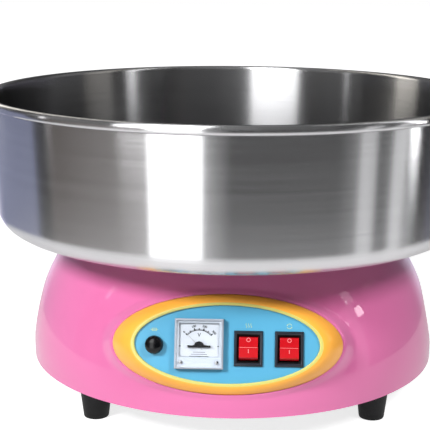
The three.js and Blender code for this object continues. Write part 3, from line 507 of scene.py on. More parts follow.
class Surface(Wiring):
    """Builds a material's nodes on object coordinates."""

    def __init__(self, name: str) -> None:
        """Makes an empty material with its coordinates."""
        self.material = bpy.data.materials.new(name)
        self.material.use_nodes = True
        super().__init__(self.material.node_tree)
        self.place = self.add("ShaderNodeTexCoord").outputs["Object"]

    def noise(self, scale: float, detail: float = 2.0, vector: Socket | None = None) -> Socket:
        """Adds a noise pattern and gives its value."""
        inputs = {"Vector": vector or self.place, "Scale": scale, "Detail": detail, "Roughness": 0.5}
        return self.add("ShaderNodeTexNoise", inputs).outputs["Fac"]

    def spread(self, value: object, low: float = 0.0, high: float = 1.0) -> Socket:
        """Maps a pattern from 0.3..0.7 onto a range."""
        inputs = {"Value": value, "From Min": 0.3, "From Max": 0.7, "To Min": low, "To Max": high}
        return self.add("ShaderNodeMapRange", inputs).outputs["Result"]

    def tint(self, share: Socket, colour: Colour, low: float, high: float) -> Socket:
        """Lets a colour range by a pattern between two factors of itself."""
        node = self.add("ShaderNodeMix", data_type="RGBA")
        for key, factor in (("A", low), ("B", high)):
            node.inputs[key].default_value = (*(level * factor for level in colour), 1)
        self.tree.links.new(share, node.inputs["Factor"])
        return node.outputs["Result"]

    def bump(self, height: Socket, depth: float, strength: float = 1.0) -> Socket:
        """Turns a pattern into a bump of a depth in millimetres."""
        inputs = {"Height": height, "Distance": depth * MM, "Strength": strength}
        return self.add("ShaderNodeBump", inputs).outputs["Normal"]

    def around(self, turns: float, along: float) -> Socket:
        """Gives coordinates that follow a turned piece: round it, up it and out from its axis."""
        split = self.add("ShaderNodeSeparateXYZ", {"Vector": self.place})
        x, y, z = (split.outputs[axis] for axis in "XYZ")
        squares = (self.sum("MULTIPLY", side, side) for side in (x, y))
        parts = {
            "X": self.sum("MULTIPLY", self.sum("ARCTAN2", y, x), turns),
            "Y": self.sum("MULTIPLY", z, along),
            "Z": self.sum("MULTIPLY", self.sum("SQRT", self.sum("ADD", *squares)), along),
        }
        return self.add("ShaderNodeCombineXYZ", parts).outputs["Vector"]

    def end(self, shader: Socket) -> Material:
        """Joins the last shader to the output and gives the material."""
        self.add("ShaderNodeOutputMaterial", {"Surface": shader})
        return self.material


@dataclass(frozen=True)
class Finish:
    """What every finish has: a name, a slot of the record and a colour."""

    name: str
    slot: Slot
    colour: Colour

    def material(self) -> Material:
        """Builds the finish."""
        w = Surface(self.name)
        return w.end(w.add("ShaderNodeBsdfPrincipled", self.inputs(w)).outputs["BSDF"])

    def inputs(self, w: Surface) -> dict:
        """Gives the main shader's inputs."""
        raise NotImplementedError


@dataclass(frozen=True)
class Plastic(Finish):
    """A moulded plastic with a faint orange peel and slow colour drift."""

    roughness: float = 0.3
    coat: float = 0.0
    peel: float = 0.02
    peel_scale: float = 160.0
    drift: float = 0.05
    shine: float = 0.5
    haze: float = 0.0

    def inputs(self, w: Surface) -> dict:
        """Gives the main shader's inputs."""
        cloud = w.spread(w.noise(9, 3))
        return {
            "Base Color": w.tint(cloud, self.colour, 1 - self.drift, 1 + self.drift),
            "Roughness": w.spread(w.noise(34, 4), self.roughness * 0.96, self.roughness * 1.04),
            "Normal": w.bump(w.noise(self.peel_scale, 2), self.peel),
            "Specular IOR Level": self.shine,
            "Coat Weight": self.coat,
            "Coat Roughness": 0.04,
            "Sheen Weight": self.haze,
            "Sheen Roughness": 0.6,
            "IOR": 1.5,
        }


@dataclass(frozen=True)
class Brushed(Finish):
    """A spun or brushed metal whose fine lines run round the axis."""

    roughness: float = 0.3
    stretch: float = 0.7
    line_scale: float = 1500.0
    depth: float = 0.004
    fine_share: float = 0.75

    def inputs(self, w: Surface) -> dict:
        """Gives the main shader's inputs."""
        lines = w.noise(1.0, 3, w.around(1.4, self.line_scale))
        broad = w.noise(1.0, 2, w.around(0.9, self.line_scale / 5))
        shares = (w.sum("MULTIPLY", lines, self.fine_share), w.sum("MULTIPLY", broad, 1 - self.fine_share))
        grain = w.spread(w.sum("ADD", *shares))
        return {
            "Base Color": w.tint(grain, self.colour, 0.94, 1.05),
            "Metallic": 1.0,
            "Roughness": w.spread(broad, self.roughness * 0.95, self.roughness * 1.05),
            "Anisotropic": self.stretch,
            "Anisotropic Rotation": 0.25,
            "Tangent": w.add("ShaderNodeTangent", direction_type="RADIAL", axis="Z").outputs["Tangent"],
            "Normal": w.bump(lines, self.depth, 0.15),
        }


@dataclass(frozen=True)
class Metal(Finish):
    """A plain metal with slow patches and a fine cast or drawn grain."""

    roughness: float = 0.35
    grain_scale: float = 420.0
    depth: float = 0.03
    patches: float = 0.08

    def inputs(self, w: Surface) -> dict:
        """Gives the main shader's inputs."""
        patch = w.spread(w.noise(26, 4))
        grain = w.noise(self.grain_scale, 3)
        return {
            "Base Color": w.tint(patch, self.colour, 1 - self.patches, 1 + self.patches),
            "Metallic": 1.0,
            "Roughness": w.spread(grain, self.roughness * 0.8, self.roughness * 1.2),
            "Normal": w.bump(grain, self.depth),
        }


@dataclass(frozen=True)
class Matt(Finish):
    """Rubber, ceramic, carbon or card: a matt body with a fine tooth."""

    roughness: float = 0.7
    tooth_scale: float = 600.0
    depth: float = 0.04
    wear: float = 0.15

    def inputs(self, w: Surface) -> dict:
        """Gives the main shader's inputs."""
        patch = w.spread(w.noise(60, 3))
        tooth = w.noise(self.tooth_scale, 3)
        return {
            "Base Color": w.tint(patch, self.colour, 1 - self.wear, 1 + self.wear),
            "Roughness": w.spread(tooth, self.roughness * 0.9, min(1.0, self.roughness * 1.1)),
            "Specular IOR Level": 0.3,
            "Normal": w.bump(tooth, self.depth),
        }


@dataclass(frozen=True)
class Wound(Finish):
    """Copper windings or steel laminations: fine rings stacked up the axis."""

    pitch: float = 0.8
    roughness: float = 0.35

    def inputs(self, w: Surface) -> dict:
        """Gives the main shader's inputs."""
        wave = {"Vector": w.place, "Scale": 1 / (self.pitch * MM) / 20, "Distortion": 0.4, "Detail": 1.0}
        rings = w.add("ShaderNodeTexWave", wave, bands_direction="Z").outputs["Fac"]
        return {
            "Base Color": w.tint(rings, self.colour, 0.6, 1.0),
            "Metallic": 1.0,
            "Roughness": self.roughness,
            "Normal": w.bump(rings, 0.2),
        }


@dataclass(frozen=True)
class Clear(Finish):
    """A clear moulded window or glass tube with faint hairline scratches."""

    roughness: float = 0.02
    bending: float = 1.1

    def inputs(self, w: Surface) -> dict:
        """Gives the main shader's inputs."""
        scratch = w.noise(900, 2)
        return {
            "Base Color": (*self.colour, 1),
            "Roughness": w.spread(scratch, self.roughness, self.roughness * 2),
            "Transmission Weight": 1.0,
            "IOR": self.bending,
            "Normal": w.bump(scratch, 0.002),
        }


PINK = Plastic("pink_shell_gloss", Slot.PINK, srgb(224, 111, 168), 0.35, 0.6, 0.003, 60, 0.015, 0.15, 0.25)
YELLOW = Plastic("bezel_yellow", Slot.YELLOW, srgb(255, 178, 66), 0.3, 0.12, 0.006, 90, 0.03)
# A paler copy of the bezel yellow for the lip: a painted highlight where light catches it.
LIP_HIGHLIGHT_YELLOW = Plastic("bezel_lip_painted_highlight", Slot.YELLOW, srgb(208, 202, 114), 0.3, 0.1, 0.006, 90, 0.02)
BLUE = Plastic("panel_blue", Slot.BLUE, srgb(88, 168, 205), 0.32, 0.1, 0.012, 240, 0.03)
LABEL = Plastic("label_ink", Slot.YELLOW, srgb(196, 214, 150), 0.5, 0, 0.004, 400, 0.03)
WHITE = Plastic("meter_white", Slot.WHITE, srgb(174, 182, 194), 0.25, 0.2, 0.006, 200, 0.02)
BLACK = Plastic("gloss_black", Slot.BLACK, srgb(9, 9, 12), 0.22, 0.1, 0.01, 160, 0.1, 0.25)
SATIN_BLACK = Plastic("satin_black", Slot.BLACK, srgb(24, 24, 26), 0.42, 0, 0.03, 700, 0.1)
SLATE = Plastic("switch_slate", Slot.SLATE, srgb(30, 36, 46), 0.4, 0.05, 0.02, 500, 0.08)
RED = Plastic("rocker_red", Slot.RED, srgb(192, 18, 28), 0.24, 0.2, 0.006, 200, 0.05)
# Pale pink for the rocker's printed marks, also used for a painted highlight along each rocker's middle
# ridge.
MARK_AND_HIGHLIGHT = Plastic("rocker_print_and_painted_highlight", Slot.WHITE, srgb(230, 130, 134), 0.35, 0, 0.004, 400, 0.02)
BROWN = Plastic("brown_insulator", Slot.BROWN, srgb(106, 58, 32), 0.4, 0, 0.03, 500, 0.12)
# Near-black paint for the inside of the switch recesses: painted shade where little light reaches.
RECESS_SHADE_BLACK = Matt("switch_recess_painted_shade", Slot.BLACK, srgb(5, 5, 7), 0.7, 700, 0.01, 0.05)
DIAL = Matt("dial_card", Slot.DIAL, srgb(182, 187, 196), 0.6, 900, 0.006, 0.015)
POINTER = Matt("pointer_grey", Slot.BLACK, srgb(150, 152, 156), 0.5, 900, 0.004, 0.05)
INK = Matt("dial_ink", Slot.BLACK, srgb(20, 20, 22), 0.6, 900, 0.004, 0.05)
RUBBER = Matt("foot_rubber", Slot.RUBBER, srgb(12, 12, 14), 0.6, 700, 0.05, 0.2)
CERAMIC = Matt("post_ceramic", Slot.CERAMIC, srgb(232, 225, 208), 0.45, 300, 0.04, 0.06)
CARBON = Matt("brush_carbon", Slot.CARBON, srgb(44, 44, 46), 0.6, 900, 0.05, 0.15)
STAINLESS = Brushed("bowl_stainless", Slot.STAINLESS, srgb(206, 206, 208), 0.22, 1.0)
SPUN = Brushed("spun_aluminium", Slot.ALUMINIUM, srgb(214, 216, 220), 0.3, 0.6, 1600, 0.02)
PLATE_STEEL = Metal("plate_zinc", Slot.STEEL, srgb(176, 180, 184), 0.4, 300, 0.02, 0.12)
STEEL = Metal("machined_steel", Slot.STEEL, srgb(190, 192, 195), 0.28, 500, 0.01, 0.06)
CAST = Metal("cast_aluminium", Slot.ALUMINIUM, srgb(186, 188, 192), 0.5, 260, 0.12, 0.1)
HEATER = Metal("heater_sheath", Slot.HEATER, srgb(120, 112, 108), 0.45, 200, 0.02, 0.25)
BRASS = Metal("turned_brass", Slot.BRASS, srgb(214, 172, 96), 0.25, 500, 0.008, 0.08)
COPPER = Wound("copper_windings", Slot.COPPER, srgb(196, 112, 72), 0.8, 0.35)
LAMINATIONS = Wound("rotor_laminations", Slot.STEEL, srgb(130, 132, 136), 0.6, 0.45)
COLOURLESS = (0.98, 0.99, 0.99)
WINDOW = Clear("meter_window", Slot.CLEAR, COLOURLESS, 0.0, 1.01)
GLASS = Clear("clear_glass", Slot.CLEAR, COLOURLESS)


class Workshop:
    """Keeps the finishes already made, and puts finished pieces on their bodies."""

    def __init__(self, frame: dict) -> None:
        """Keeps the loaded frame."""
        self.frame = frame
        self.materials: dict[str, Material] = {}

    def coat(self, finish: Finish) -> Material:
        """Gives a finish's material, made once."""
        if finish.name not in self.materials:
            self.materials[finish.name] = finish.material()
        return self.materials[finish.name]

    def fit(self, piece: Thing, finish: Finish, body: Body, *nodes: str) -> None:
        """Gives a piece its finish, its body and the nodes that it stands for.

        Args:
            piece: The finished mesh.
            finish: Its finish. A piece that already has materials keeps them.
            body: The body that it rides on.
            *nodes: The nodes that it replaces.
        """
        if not [m for m in piece.data.materials if m]:
            coated(piece, self.coat(finish))
        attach(piece, body.value)
        if nodes:
            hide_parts(*nodes)
        log.info("%s on %s, %d faces", piece.name, body.value, len(piece.data.polygons))

    def dress(self, finish: Finish, *nodes: str) -> None:
        """Gives nodes whose shape is kept a finish."""
        for node in nodes:
            coated(self.frame["nodes"][node], self.coat(finish))
            log.info("%s keeps its shape, finish %s", node, finish.name)


class Recipe(Wiring):
    """A geometry tree with its own inputs, which runs on a piece as a modifier."""

    def __init__(self, name: str, sockets: dict[str, str]) -> None:
        """Makes the tree with its inputs.

        Args:
            name: The tree's name.
            sockets: The kind of each input, by its name.
        """
        super().__init__(bpy.data.node_groups.new(name, "GeometryNodeTree"))
        self.keys: dict[str, str] = {}
        face = self.tree.interface
        for label, kind in {"Geometry": "Geometry", **sockets, "Material": "Material"}.items():
            socket = face.new_socket(name=label, in_out="INPUT", socket_type="NodeSocket" + kind)
            self.keys[label] = socket.identifier
        face.new_socket(name="Geometry", in_out="OUTPUT", socket_type="NodeSocketGeometry")
        self.given = self.add("NodeGroupInput").outputs

    def step(self, kind: str, inputs: dict) -> Socket:
        """Adds a node and gives its first result."""
        return self.add("GeometryNode" + kind, inputs).outputs[0]

    def end(self, geometry: Socket) -> None:
        """Ends the tree with the given material on the geometry."""
        coated = self.step("SetMaterial", {"Geometry": geometry, "Material": self.given["Material"]})
        self.add("NodeGroupOutput", {0: coated})

    def run(self, piece: Thing, **values: object) -> Thing:
        """Runs the tree on a piece with a value for each input, and gives the plain mesh."""
        modifier = piece.modifiers.new("recipe", "NODES")
        modifier.node_group = self.tree
        for label, value in values.items():
            modifier[self.keys[label]] = value
        return applied(piece)


class Pattern(Recipe):
    """Sets copies of a mesh on a circle and welds them."""

    def __init__(self) -> None:
        """Joins the nodes: points on a circle, copies on the points, one real mesh."""
        floats = dict.fromkeys(("Radius", "Height", "Start", "Step", "Weld"), "Float")
        super().__init__("copies_on_circle", {"Count": "Int", **floats})
        given = self.given
        index = self.step("InputIndex", {})
        angle = self.sum("ADD", given["Start"], self.sum("MULTIPLY", index, given["Step"]))
        x, y = (self.sum("MULTIPLY", self.sum(how, angle), given["Radius"]) for how in ("COSINE", "SINE"))
        place = self.add("ShaderNodeCombineXYZ", {"X": x, "Y": y, "Z": given["Height"]}).outputs[0]
        spin = self.add("ShaderNodeCombineXYZ", {"Z": angle}).outputs[0]
        points = self.step("Points", {"Count": given["Count"], "Position": place})
        copies = {"Points": points, "Instance": given["Geometry"], "Rotation": spin}
        real = self.step("RealizeInstances", {0: self.step("InstanceOnPoints", copies)})
        self.end(self.step("MergeByDistance", {"Geometry": real, "Distance": given["Weld"]}))

    def repeat(
        self,
        piece: Thing,
        count: int,
        radius: float,
        height: float = 0.0,
        start: float = 0.0,
        step: float | None = None,
        material: Material | None = None,
        weld: float = 0.0001,
    ) -> Thing:
        """Repeats a piece drawn at the origin, with +X pointing outwards.

        Args:
            piece: The template, which becomes the whole row.
            count: Number of copies.
            radius: Radius of the circle.
            height: Height of the copies.
            start: Angle of the first copy in degrees.
            step: Angle between copies in degrees, or an even share of the turn.
            material: Material of the result.
            weld: Distance under which points are joined.

        Returns:
            The piece, now a plain mesh of all the copies.
        """
        angles = {"Start": math.radians(start), "Step": math.radians(360 / count if step is None else step)}
        sizes = {"Radius": radius * MM, "Height": height * MM, "Weld": weld * MM}
        return self.run(piece, Count=count, Material=material, **angles, **sizes)


class Tube(Recipe):
    """Sweeps a round section along a path."""

    def __init__(self, segments: int = 24) -> None:
        """Joins the nodes: a curve from the path, a circle along it, one real mesh."""
        super().__init__("tube_on_path", {"Radius": "Float"})
        path = self.step("MeshToCurve", {"Mesh": self.given["Geometry"]})
        section = self.step("CurvePrimitiveCircle", {"Resolution": segments, "Radius": self.given["Radius"]})
        swept = {"Curve": path, "Profile Curve": section, "Fill Caps": True}
        self.end(self.step("RealizeInstances", {0: self.step("CurveToMesh", swept)}))

    def sweep(self, name: str, path: Sequence[Point], radius: float, material: Material) -> Thing:
        """Makes a tube along a path of points in millimetres."""
        work = bmesh.new()
        verts = [work.verts.new(Vector(point) * MM) for point in path]
        for pair in zip(verts, verts[1:]):
            work.edges.new(pair)
        piece = self.run(meshed(name, work), Radius=radius * MM, Material=material)
        smooth(piece, 50)
        return piece


@dataclass(frozen=True)
class PanelPlane:
    """The sloping plane of the control panel: u to the right, v up the slope, w out of it."""

    slope: float = 18.0
    depth: float = 203.495
    height: float = 98.0

    @property
    def matrix(self) -> Matrix:
        """Turns panel coordinates into the machine's own."""
        return shift(0, -self.depth, self.height) @ turn(90 - self.slope, "X")

    def at(self, u: float, v: float, w: float = 0.0) -> Matrix:
        """Gives the matrix of a place on the panel."""
        return self.matrix @ shift(u, v, w)


@dataclass
class Bowl:
    """The spun stainless bowl, its rubber seat and the heat shield under it."""

    shop: Workshop
    segments: int = 256
    sheet: float = 1.2
    wall_top: float = 253.6
    wall_bottom: float = 249.0
    corner: float = 22.0
    rim_width: float = 7.2
    rim_height: float = 9.4
    collar_radius: float = 92.0
    collar_height: float = 22.0
    collar_fillet: float = 5.0
    peg_hole: float = 3.6
    seat_width: float = 14.0
    groove_count: int = 3
    groove_depth: float = 0.7
    edge: float = 0.6
    shield_bore: float = 18.0
    shield_sheet: float = 1.0
    press_ring: Pair = (52.0, 58.0)
    press_rise: float = 0.5
    pin_hole: float = 1.8

    def profile(self) -> list[Pair]:
        """Gives the sheet's closed outline, from the collar round the rim and back."""
        floor, top = Box.of("bowl").levels
        floor_top = floor + self.sheet
        bead = (self.wall_top - self.sheet + self.rim_width / 2, top - self.rim_height / 2)
        half = (self.rim_width / 2, self.rim_height / 2)
        start = 180 + math.degrees(math.acos(1 - self.sheet / half[0]))
        collar_top = floor_top + self.collar_height
        fillet = (self.collar_radius + self.collar_fillet, floor + self.collar_fillet)
        corner = (self.wall_bottom - self.corner, floor + self.corner)
        inner_fillet = self.collar_fillet - self.sheet
        inner_corner = self.corner - self.sheet
        lip = (self.collar_radius + self.sheet / 2, collar_top - self.sheet / 2)
        return [
            *arc(fillet, (self.collar_fillet, self.collar_fillet), 180, 270, 8),
            *arc(corner, (self.corner, self.corner), 270, 360, 16),
            *arc(bead, half, start, 540, 28),
            *arc(corner, (inner_corner, inner_corner), 360, 270, 16),
            *arc(fillet, (inner_fillet, inner_fillet), 270, 180, 8),
            *arc(lip, (self.sheet / 2, self.sheet / 2), 0, 180, 6),
        ]

    def build(self, pattern: Pattern) -> None:
        """Makes the bowl, its seat and the shield."""
        bowl = Draft().revolve(self.profile(), self.segments).object("spun_bowl", sharp=50)
        floor = Box.of("bowl").low.z
        drill = Draft().rod(self.peg_hole, floor - 2, floor + 4, 32).object("peg_drill")
        carve(bowl, pattern.repeat(drill, PEG_COUNT, PEG_RING, start=PEG_START))
        smooth(bowl, 50)
        self.shop.fit(bowl, STAINLESS, Body.BOWL, "bowl")
        self._seat()
        self._shield(pattern)

    def _seat(self) -> None:
        """Makes the rubber ring with its fine grooves."""
        box, edge = Box.of("bowl_seat_gasket"), self.edge
        outer, (low, high) = box.high.x, box.levels
        inner = outer - self.seat_width
        step = (outer - inner) / (self.groove_count + 1)
        profile = [(inner, low), (outer, low), (outer, high - edge), (outer - edge, high)]
        for groove in range(self.groove_count):
            middle = outer - step * (groove + 1)
            deep = high - self.groove_depth
            profile += [(middle + 2 * edge, high), (middle + edge, deep), (middle - edge, deep)]
            profile.append((middle - 2 * edge, high))
        profile += [(inner + edge, high), (inner, high - edge)]
        seat = Draft().revolve(profile).object("seat_ring")
        self.shop.fit(seat, RUBBER, Body.ROOT, "bowl_seat_gasket")

    def _shield(self, pattern: Pattern) -> None:
        """Makes the heat shield with its upturned lip, a pressed ring and its pin holes."""
        box = Box.of("heat_shield")
        outer, (low, high) = box.high.x, box.levels
        inner, sheet = self.shield_bore, self.shield_sheet
        first, last = self.press_ring
        top = low + sheet
        raised = top + self.press_rise
        wall = outer - sheet
        profile = [
            (inner, low), (outer - 1, low), (outer - 0.3, low + 0.3), (outer, low + 1), (outer, high - 0.3),
            (outer - 0.3, high), (wall + 0.2, high), (wall, high - 0.3), (wall, raised), (wall - 0.5, top),
            (last, top), (last - 1, raised), (first + 1, raised), (first, top), (inner, top),
        ]
        shield = Draft().revolve(profile).object("shield_dish", sharp=40)
        drill = Draft().rod(self.pin_hole, low - 2, top + 2, 24).object("shield_drill")
        carve(shield, pattern.repeat(drill, PEG_COUNT, PIN_RING, start=PIN_START))
        smooth(shield, 40)
        self.shop.fit(shield, SPUN, Body.ROOT, "heat_shield")


@dataclass
class Housing:
    """The moulded shell with its panel flare and side vents, the base plate and the feet."""

    shop: Workshop
    plane: PanelPlane
    radius: float = 215.0
    rise: float = 199.0
    skirt: float = 8.0
    skirt_margin: float = 3.0
    deck_corner: float = 11.0
    wall: float = 3.0
    gap: float = 0.3
    bezel_half: Pair = (108.0, 46.3)
    bezel_drop: float = 5.0
    bezel_wrap: float = 14.0
    opening_half: Pair = (96.0, 42.9)
    flare_blend: float = 7.0
    flare_lead: float = 2.2
    flare_bend: float = 7.3
    flare_drop: float = 1.3
    flare_fade: float = 12.0
    flare_reach: Pair = (175.0, 120.0)
    flare_search: Pair = (-40.0, 260.0)
    flare_front: float = -40.0
    flare_deck_gap: float = 4.0
    fine_half: float = 46.0
    fine_columns: int = 200
    coarse_columns: int = 112
    dome_rows: int = 78
    deck_rows: int = 10
    deck_shares: tuple[float, ...] = (0.85, 0.6, 0.3)
    shaft_hole: float = 16.0
    peg_size: Pair = (3.0, 9.0)
    peg_chamfer: Pair = (1.2, 1.5)
    pin_size: Pair = (1.5, 2.5)
    pin_chamfer: Pair = (0.5, 0.5)
    vent_half: Pair = (45.0, 35.0)
    vent_depth: float = 9.0
    vent_draft: float = 0.3
    vent_height: float = 43.0
    vent_tilt: float = 11.0
    vent_lip: float = 2.4
    vent_lip_angles: tuple[float, ...] = (0, 20, 40, 60, 78)
    vent_cap: float = 8.0
    vent_search: Pair = (-60.0, 20.0)
    louvre_count: int = 4
    louvre_height: float = 5.5
    louvre_pitch: float = 13.0
    louvre_margin: float = 7.0
    gland_height: float = 24.0
    gland_lean: float = 5.0
    gland_bore: float = 4.5
    gland_hole: float = 8.3
    gland_relief: float = 14.0
    gland_reach: float = 20.0
    gland_ribs: int = 3
    plate_slot: Pair = (40.0, 5.0)
    plate_slot_count: int = 8
    plate_slot_ring: float = 125.0
    plate_slot_start: float = 15.0
    mount_hole: float = 2.8
    mount_ring: float = 58.0
    screw_ring: float = 200.0
    screw_starts: Pair = (65.0, 245.0)
    screw_step: float = 50.0
    screw_size: Point = (4.2, 2.4, 14.0)
    foot_hole: float = 4.8
    foot_ring: float = 193.5
    foot_twist: float = 2.4
    foot_top: float = 32.7
    foot_radius: float = 16.0
    foot_tread: float = 12.5
    foot_hollow: float = 7.0
    foot_neck: float = 4.5
    bottom: float = field(init=False)
    deck: float = field(init=False)
    base: float = field(init=False)

    def __post_init__(self) -> None:
        """Reads the shell's levels from the frame."""
        self.bottom = Box.of("housing_shell").low.z
        self.base = self.bottom + self.skirt
        self.deck = Box.of("bowl_seat_gasket").low.z - self.gap

    def radius_at(self, height: float) -> float:
        """Gives the dome's radius at a height."""
        return self.radius * math.sqrt(max(0.0, 1 - (max(0.0, height - self.base) / self.rise) ** 2))

    def foot(self, angle: float) -> float:
        """Gives how far the bezel's outer edge lies back from the panel's plane."""
        return -self.bezel_drop - self.bezel_wrap * math.cos(angle) ** 2

    def _spread(self, u: float, v: float) -> Pair:
        """Finds the oval round the bezel that passes through a point: how far out it is, and the angle."""
        width, height = self.bezel_half
        out = border(
            *self.flare_search, lambda grow: (u / (width + grow)) ** 2 + (v / (height + grow)) ** 2 > 1
        )
        return out, math.atan2(v / (height + out), u / (width + out))

    def faired(self, point: Vector, inset: float = 0.0) -> Vector:
        """Lifts a point of the dome on to the flare round the bezel.

        Args:
            point: A point on the dome in millimetres.
            inset: How far inside the outer surface the flare lies.

        Returns:
            The point, moved along the panel's normal where the flare stands above the dome.
        """
        if point.y > self.flare_front or point.z > self.deck - self.flare_deck_gap:
            return point
        flat = self.plane.matrix.inverted() @ point
        if abs(flat.x) > self.flare_reach[0] or abs(flat.y) > self.flare_reach[1]:
            return point
        out, angle = self._spread(flat.x, flat.y)
        lead = out + inset - self.flare_lead
        down = max(0.0, lead + math.sqrt(lead * lead + self.flare_bend) - self.flare_drop)
        flare = self.foot(angle) - down - inset
        near = max(0.0, self.flare_blend - abs(flat.z - flare)) / self.flare_blend
        lifted = max(flat.z, flare) + near * near * self.flare_blend / 4
        fade = min(1.0, max(0.0, (flare - flat.z) / self.flare_fade + 1))
        flat.z += (lifted - flat.z) * fade
        return self.plane.matrix @ flat

    def _columns(self) -> list[float]:
        """Gives the angles of the mesh columns, close together round the panel."""
        half, fine, coarse = self.fine_half, self.fine_columns, self.coarse_columns
        near = [-90 - half + 2 * half * i / fine for i in range(fine)]
        rest = [-90 + half + (360 - 2 * half) * i / coarse for i in range(coarse)]
        return near + rest

    def _section(self, inset: float) -> list[Pair]:
        """Gives the dome's outline from its bottom edge to the deck's middle."""
        deck = self.deck - inset
        shoulder = deck - self.deck_corner
        rows = [(self.radius - inset, level) for level in (self.bottom, self.base - self.skirt_margin)]
        for i in range(self.dome_rows + 1):
            height = self.base + (shoulder - self.base) * i / self.dome_rows
            rows.append((self.radius_at(height) - inset, height))
        start = Vector((self.radius_at(shoulder) - inset, shoulder))
        bend = Vector((self.radius_at(deck - self.deck_corner / 4) - inset, deck))
        end = Vector((self.radius_at(deck) - inset - self.deck_corner, deck))
        for i in range(1, self.deck_rows + 1):
            share = i / self.deck_rows
            point = start * (1 - share) ** 2 + bend * 2 * share * (1 - share) + end * share ** 2
            rows.append((point.x, point.y))
        rows += [(end.x * share, deck) for share in self.deck_shares]
        rows.append((0.0, deck))
        return rows

    def _surface(self, inset: float) -> list[list[Point]]:
        """Gives the rows of points of the outer or the inner surface."""
        rows = []
        for radius, height in self._section(inset)[:-1]:
            row = []
            for degrees in self._columns():
                moved = self.faired(Vector(polar(radius, degrees, height)), inset)
                row.append((moved.x, moved.y, max(moved.z, self.bottom)))
            rows.append(row)
        return rows

    def _dome(self) -> Thing:
        """Makes the thin-walled dome, closed round its bottom edge."""
        outer = self._surface(0.0)
        inner = self._surface(self.wall)
        return Draft().skin([*reversed(inner), *outer]).object("pink_shell")

    def vent_matrix(self, side: int) -> Matrix:
        """Gives the place of a vent on the right (1) or the left (-1) wall, facing out."""
        height = self.bottom + self.vent_height
        place = shift(self.radius_at(height), 0, height)
        return turn(0 if side > 0 else 180, "Z") @ place @ turn(90 - self.vent_tilt, "Y") @ turn(90, "Z")

    def _vent_level(self, x: float, y: float) -> float:
        """Finds the dome's surface above a point of the vent's own plane."""
        matrix = self.vent_matrix(1)

        def inside(level: float) -> bool:
            """Tells whether a level lies inside the dome."""
            point = matrix @ Vector((x, y, level))
            return math.hypot(point.x, point.y) <= self.radius_at(point.z)

        return border(*self.vent_search, inside, 24)

    def _vent_loop(self, grow: float, sink: float) -> list[Point]:
        """Gives an oval that follows the dome, grown outwards and sunk under the surface."""
        width, height = self.vent_half[0] + grow, self.vent_half[1] + grow
        flat = oval(width, height, lambda _: 0.0, ROUND)
        return [(x, y, self._vent_level(x, y) - sink) for x, y, _ in flat]

    def _vent_floor(self, grow: float, level: float) -> list[Point]:
        """Gives a flat oval at a level of the vent's own plane."""
        return oval(self.vent_half[0] + grow, self.vent_half[1] + grow, lambda _: level, ROUND)

    def _recess(self) -> Draft:
        """Gives the space of a vent: a drafted oval with a rounded lip and a rounded floor corner."""
        floor = -self.vent_depth
        shrink = floor * self.vent_draft
        lip = self.vent_lip
        loops = [self._vent_floor(shrink - 1.5, floor), self._vent_floor(shrink - 0.4, floor + 0.4)]
        loops.append(self._vent_floor(shrink, floor + 1.5))
        for degrees in self.vent_lip_angles:
            angle = math.radians(degrees)
            loops.append(self._vent_loop(lip * (1 - math.cos(angle)), lip * (1 - math.sin(angle))))
        loops.append(self._vent_loop(lip + 4, -1.5))
        loops.append(self._vent_floor(lip + 4, self.vent_cap))
        return Draft().skin(loops)

    def _pocket(self) -> Draft:
        """Gives the wall round and behind a vent, which ends inside the dome's own wall."""
        floor = -self.vent_depth - self.wall
        shrink = floor * self.vent_draft
        back = self._vent_floor(shrink + self.wall, floor)
        return Draft().skin([back, self._vent_loop(self.wall + 1.0, self.wall / 2)])

    def _louvre(self, index: int) -> Draft:
        """Gives one louvre's slot through the vent's floor."""
        v = (index - (self.louvre_count - 1) / 2) * self.louvre_pitch
        half = (self.vent_half[0] - self.louvre_margin) * math.sqrt(1 - (v / self.vent_half[1]) ** 2)
        low, high = -self.vent_depth - 3 * self.wall, -self.vent_depth + 1
        loops = [oblong(2 * half, self.louvre_height, self.louvre_height / 2.02, w) for w in (low, high)]
        return Draft().skin([[(x, y + v, z) for x, y, z in loop] for loop in loops])

    def _bezel_seat(self) -> Draft:
        """Gives the space that the bezel's spigot and flange drop into."""
        gap, reach = self.gap, 40.0
        width, height = self.bezel_half[0] + gap, self.bezel_half[1] + gap
        return Draft().skin([
            oval(width, height, lambda _: reach),
            oval(width, height, lambda a: self.foot(a) - gap),
            oval(*self.opening_half, lambda a: self.foot(a) - gap),
            oval(*self.opening_half, lambda _: -2 * reach),
        ])

    def _stub(self, radius: float, height: float, chamfer: Pair, segments: int) -> Draft:
        """Gives a short pin that stands on the deck."""
        low, top = self.deck - 2, self.deck + height
        side, tip = (radius, top - chamfer[1]), (radius - chamfer[0], top)
        return Draft().revolve([(0, low), (radius, low), side, tip, (0, top)], segments)

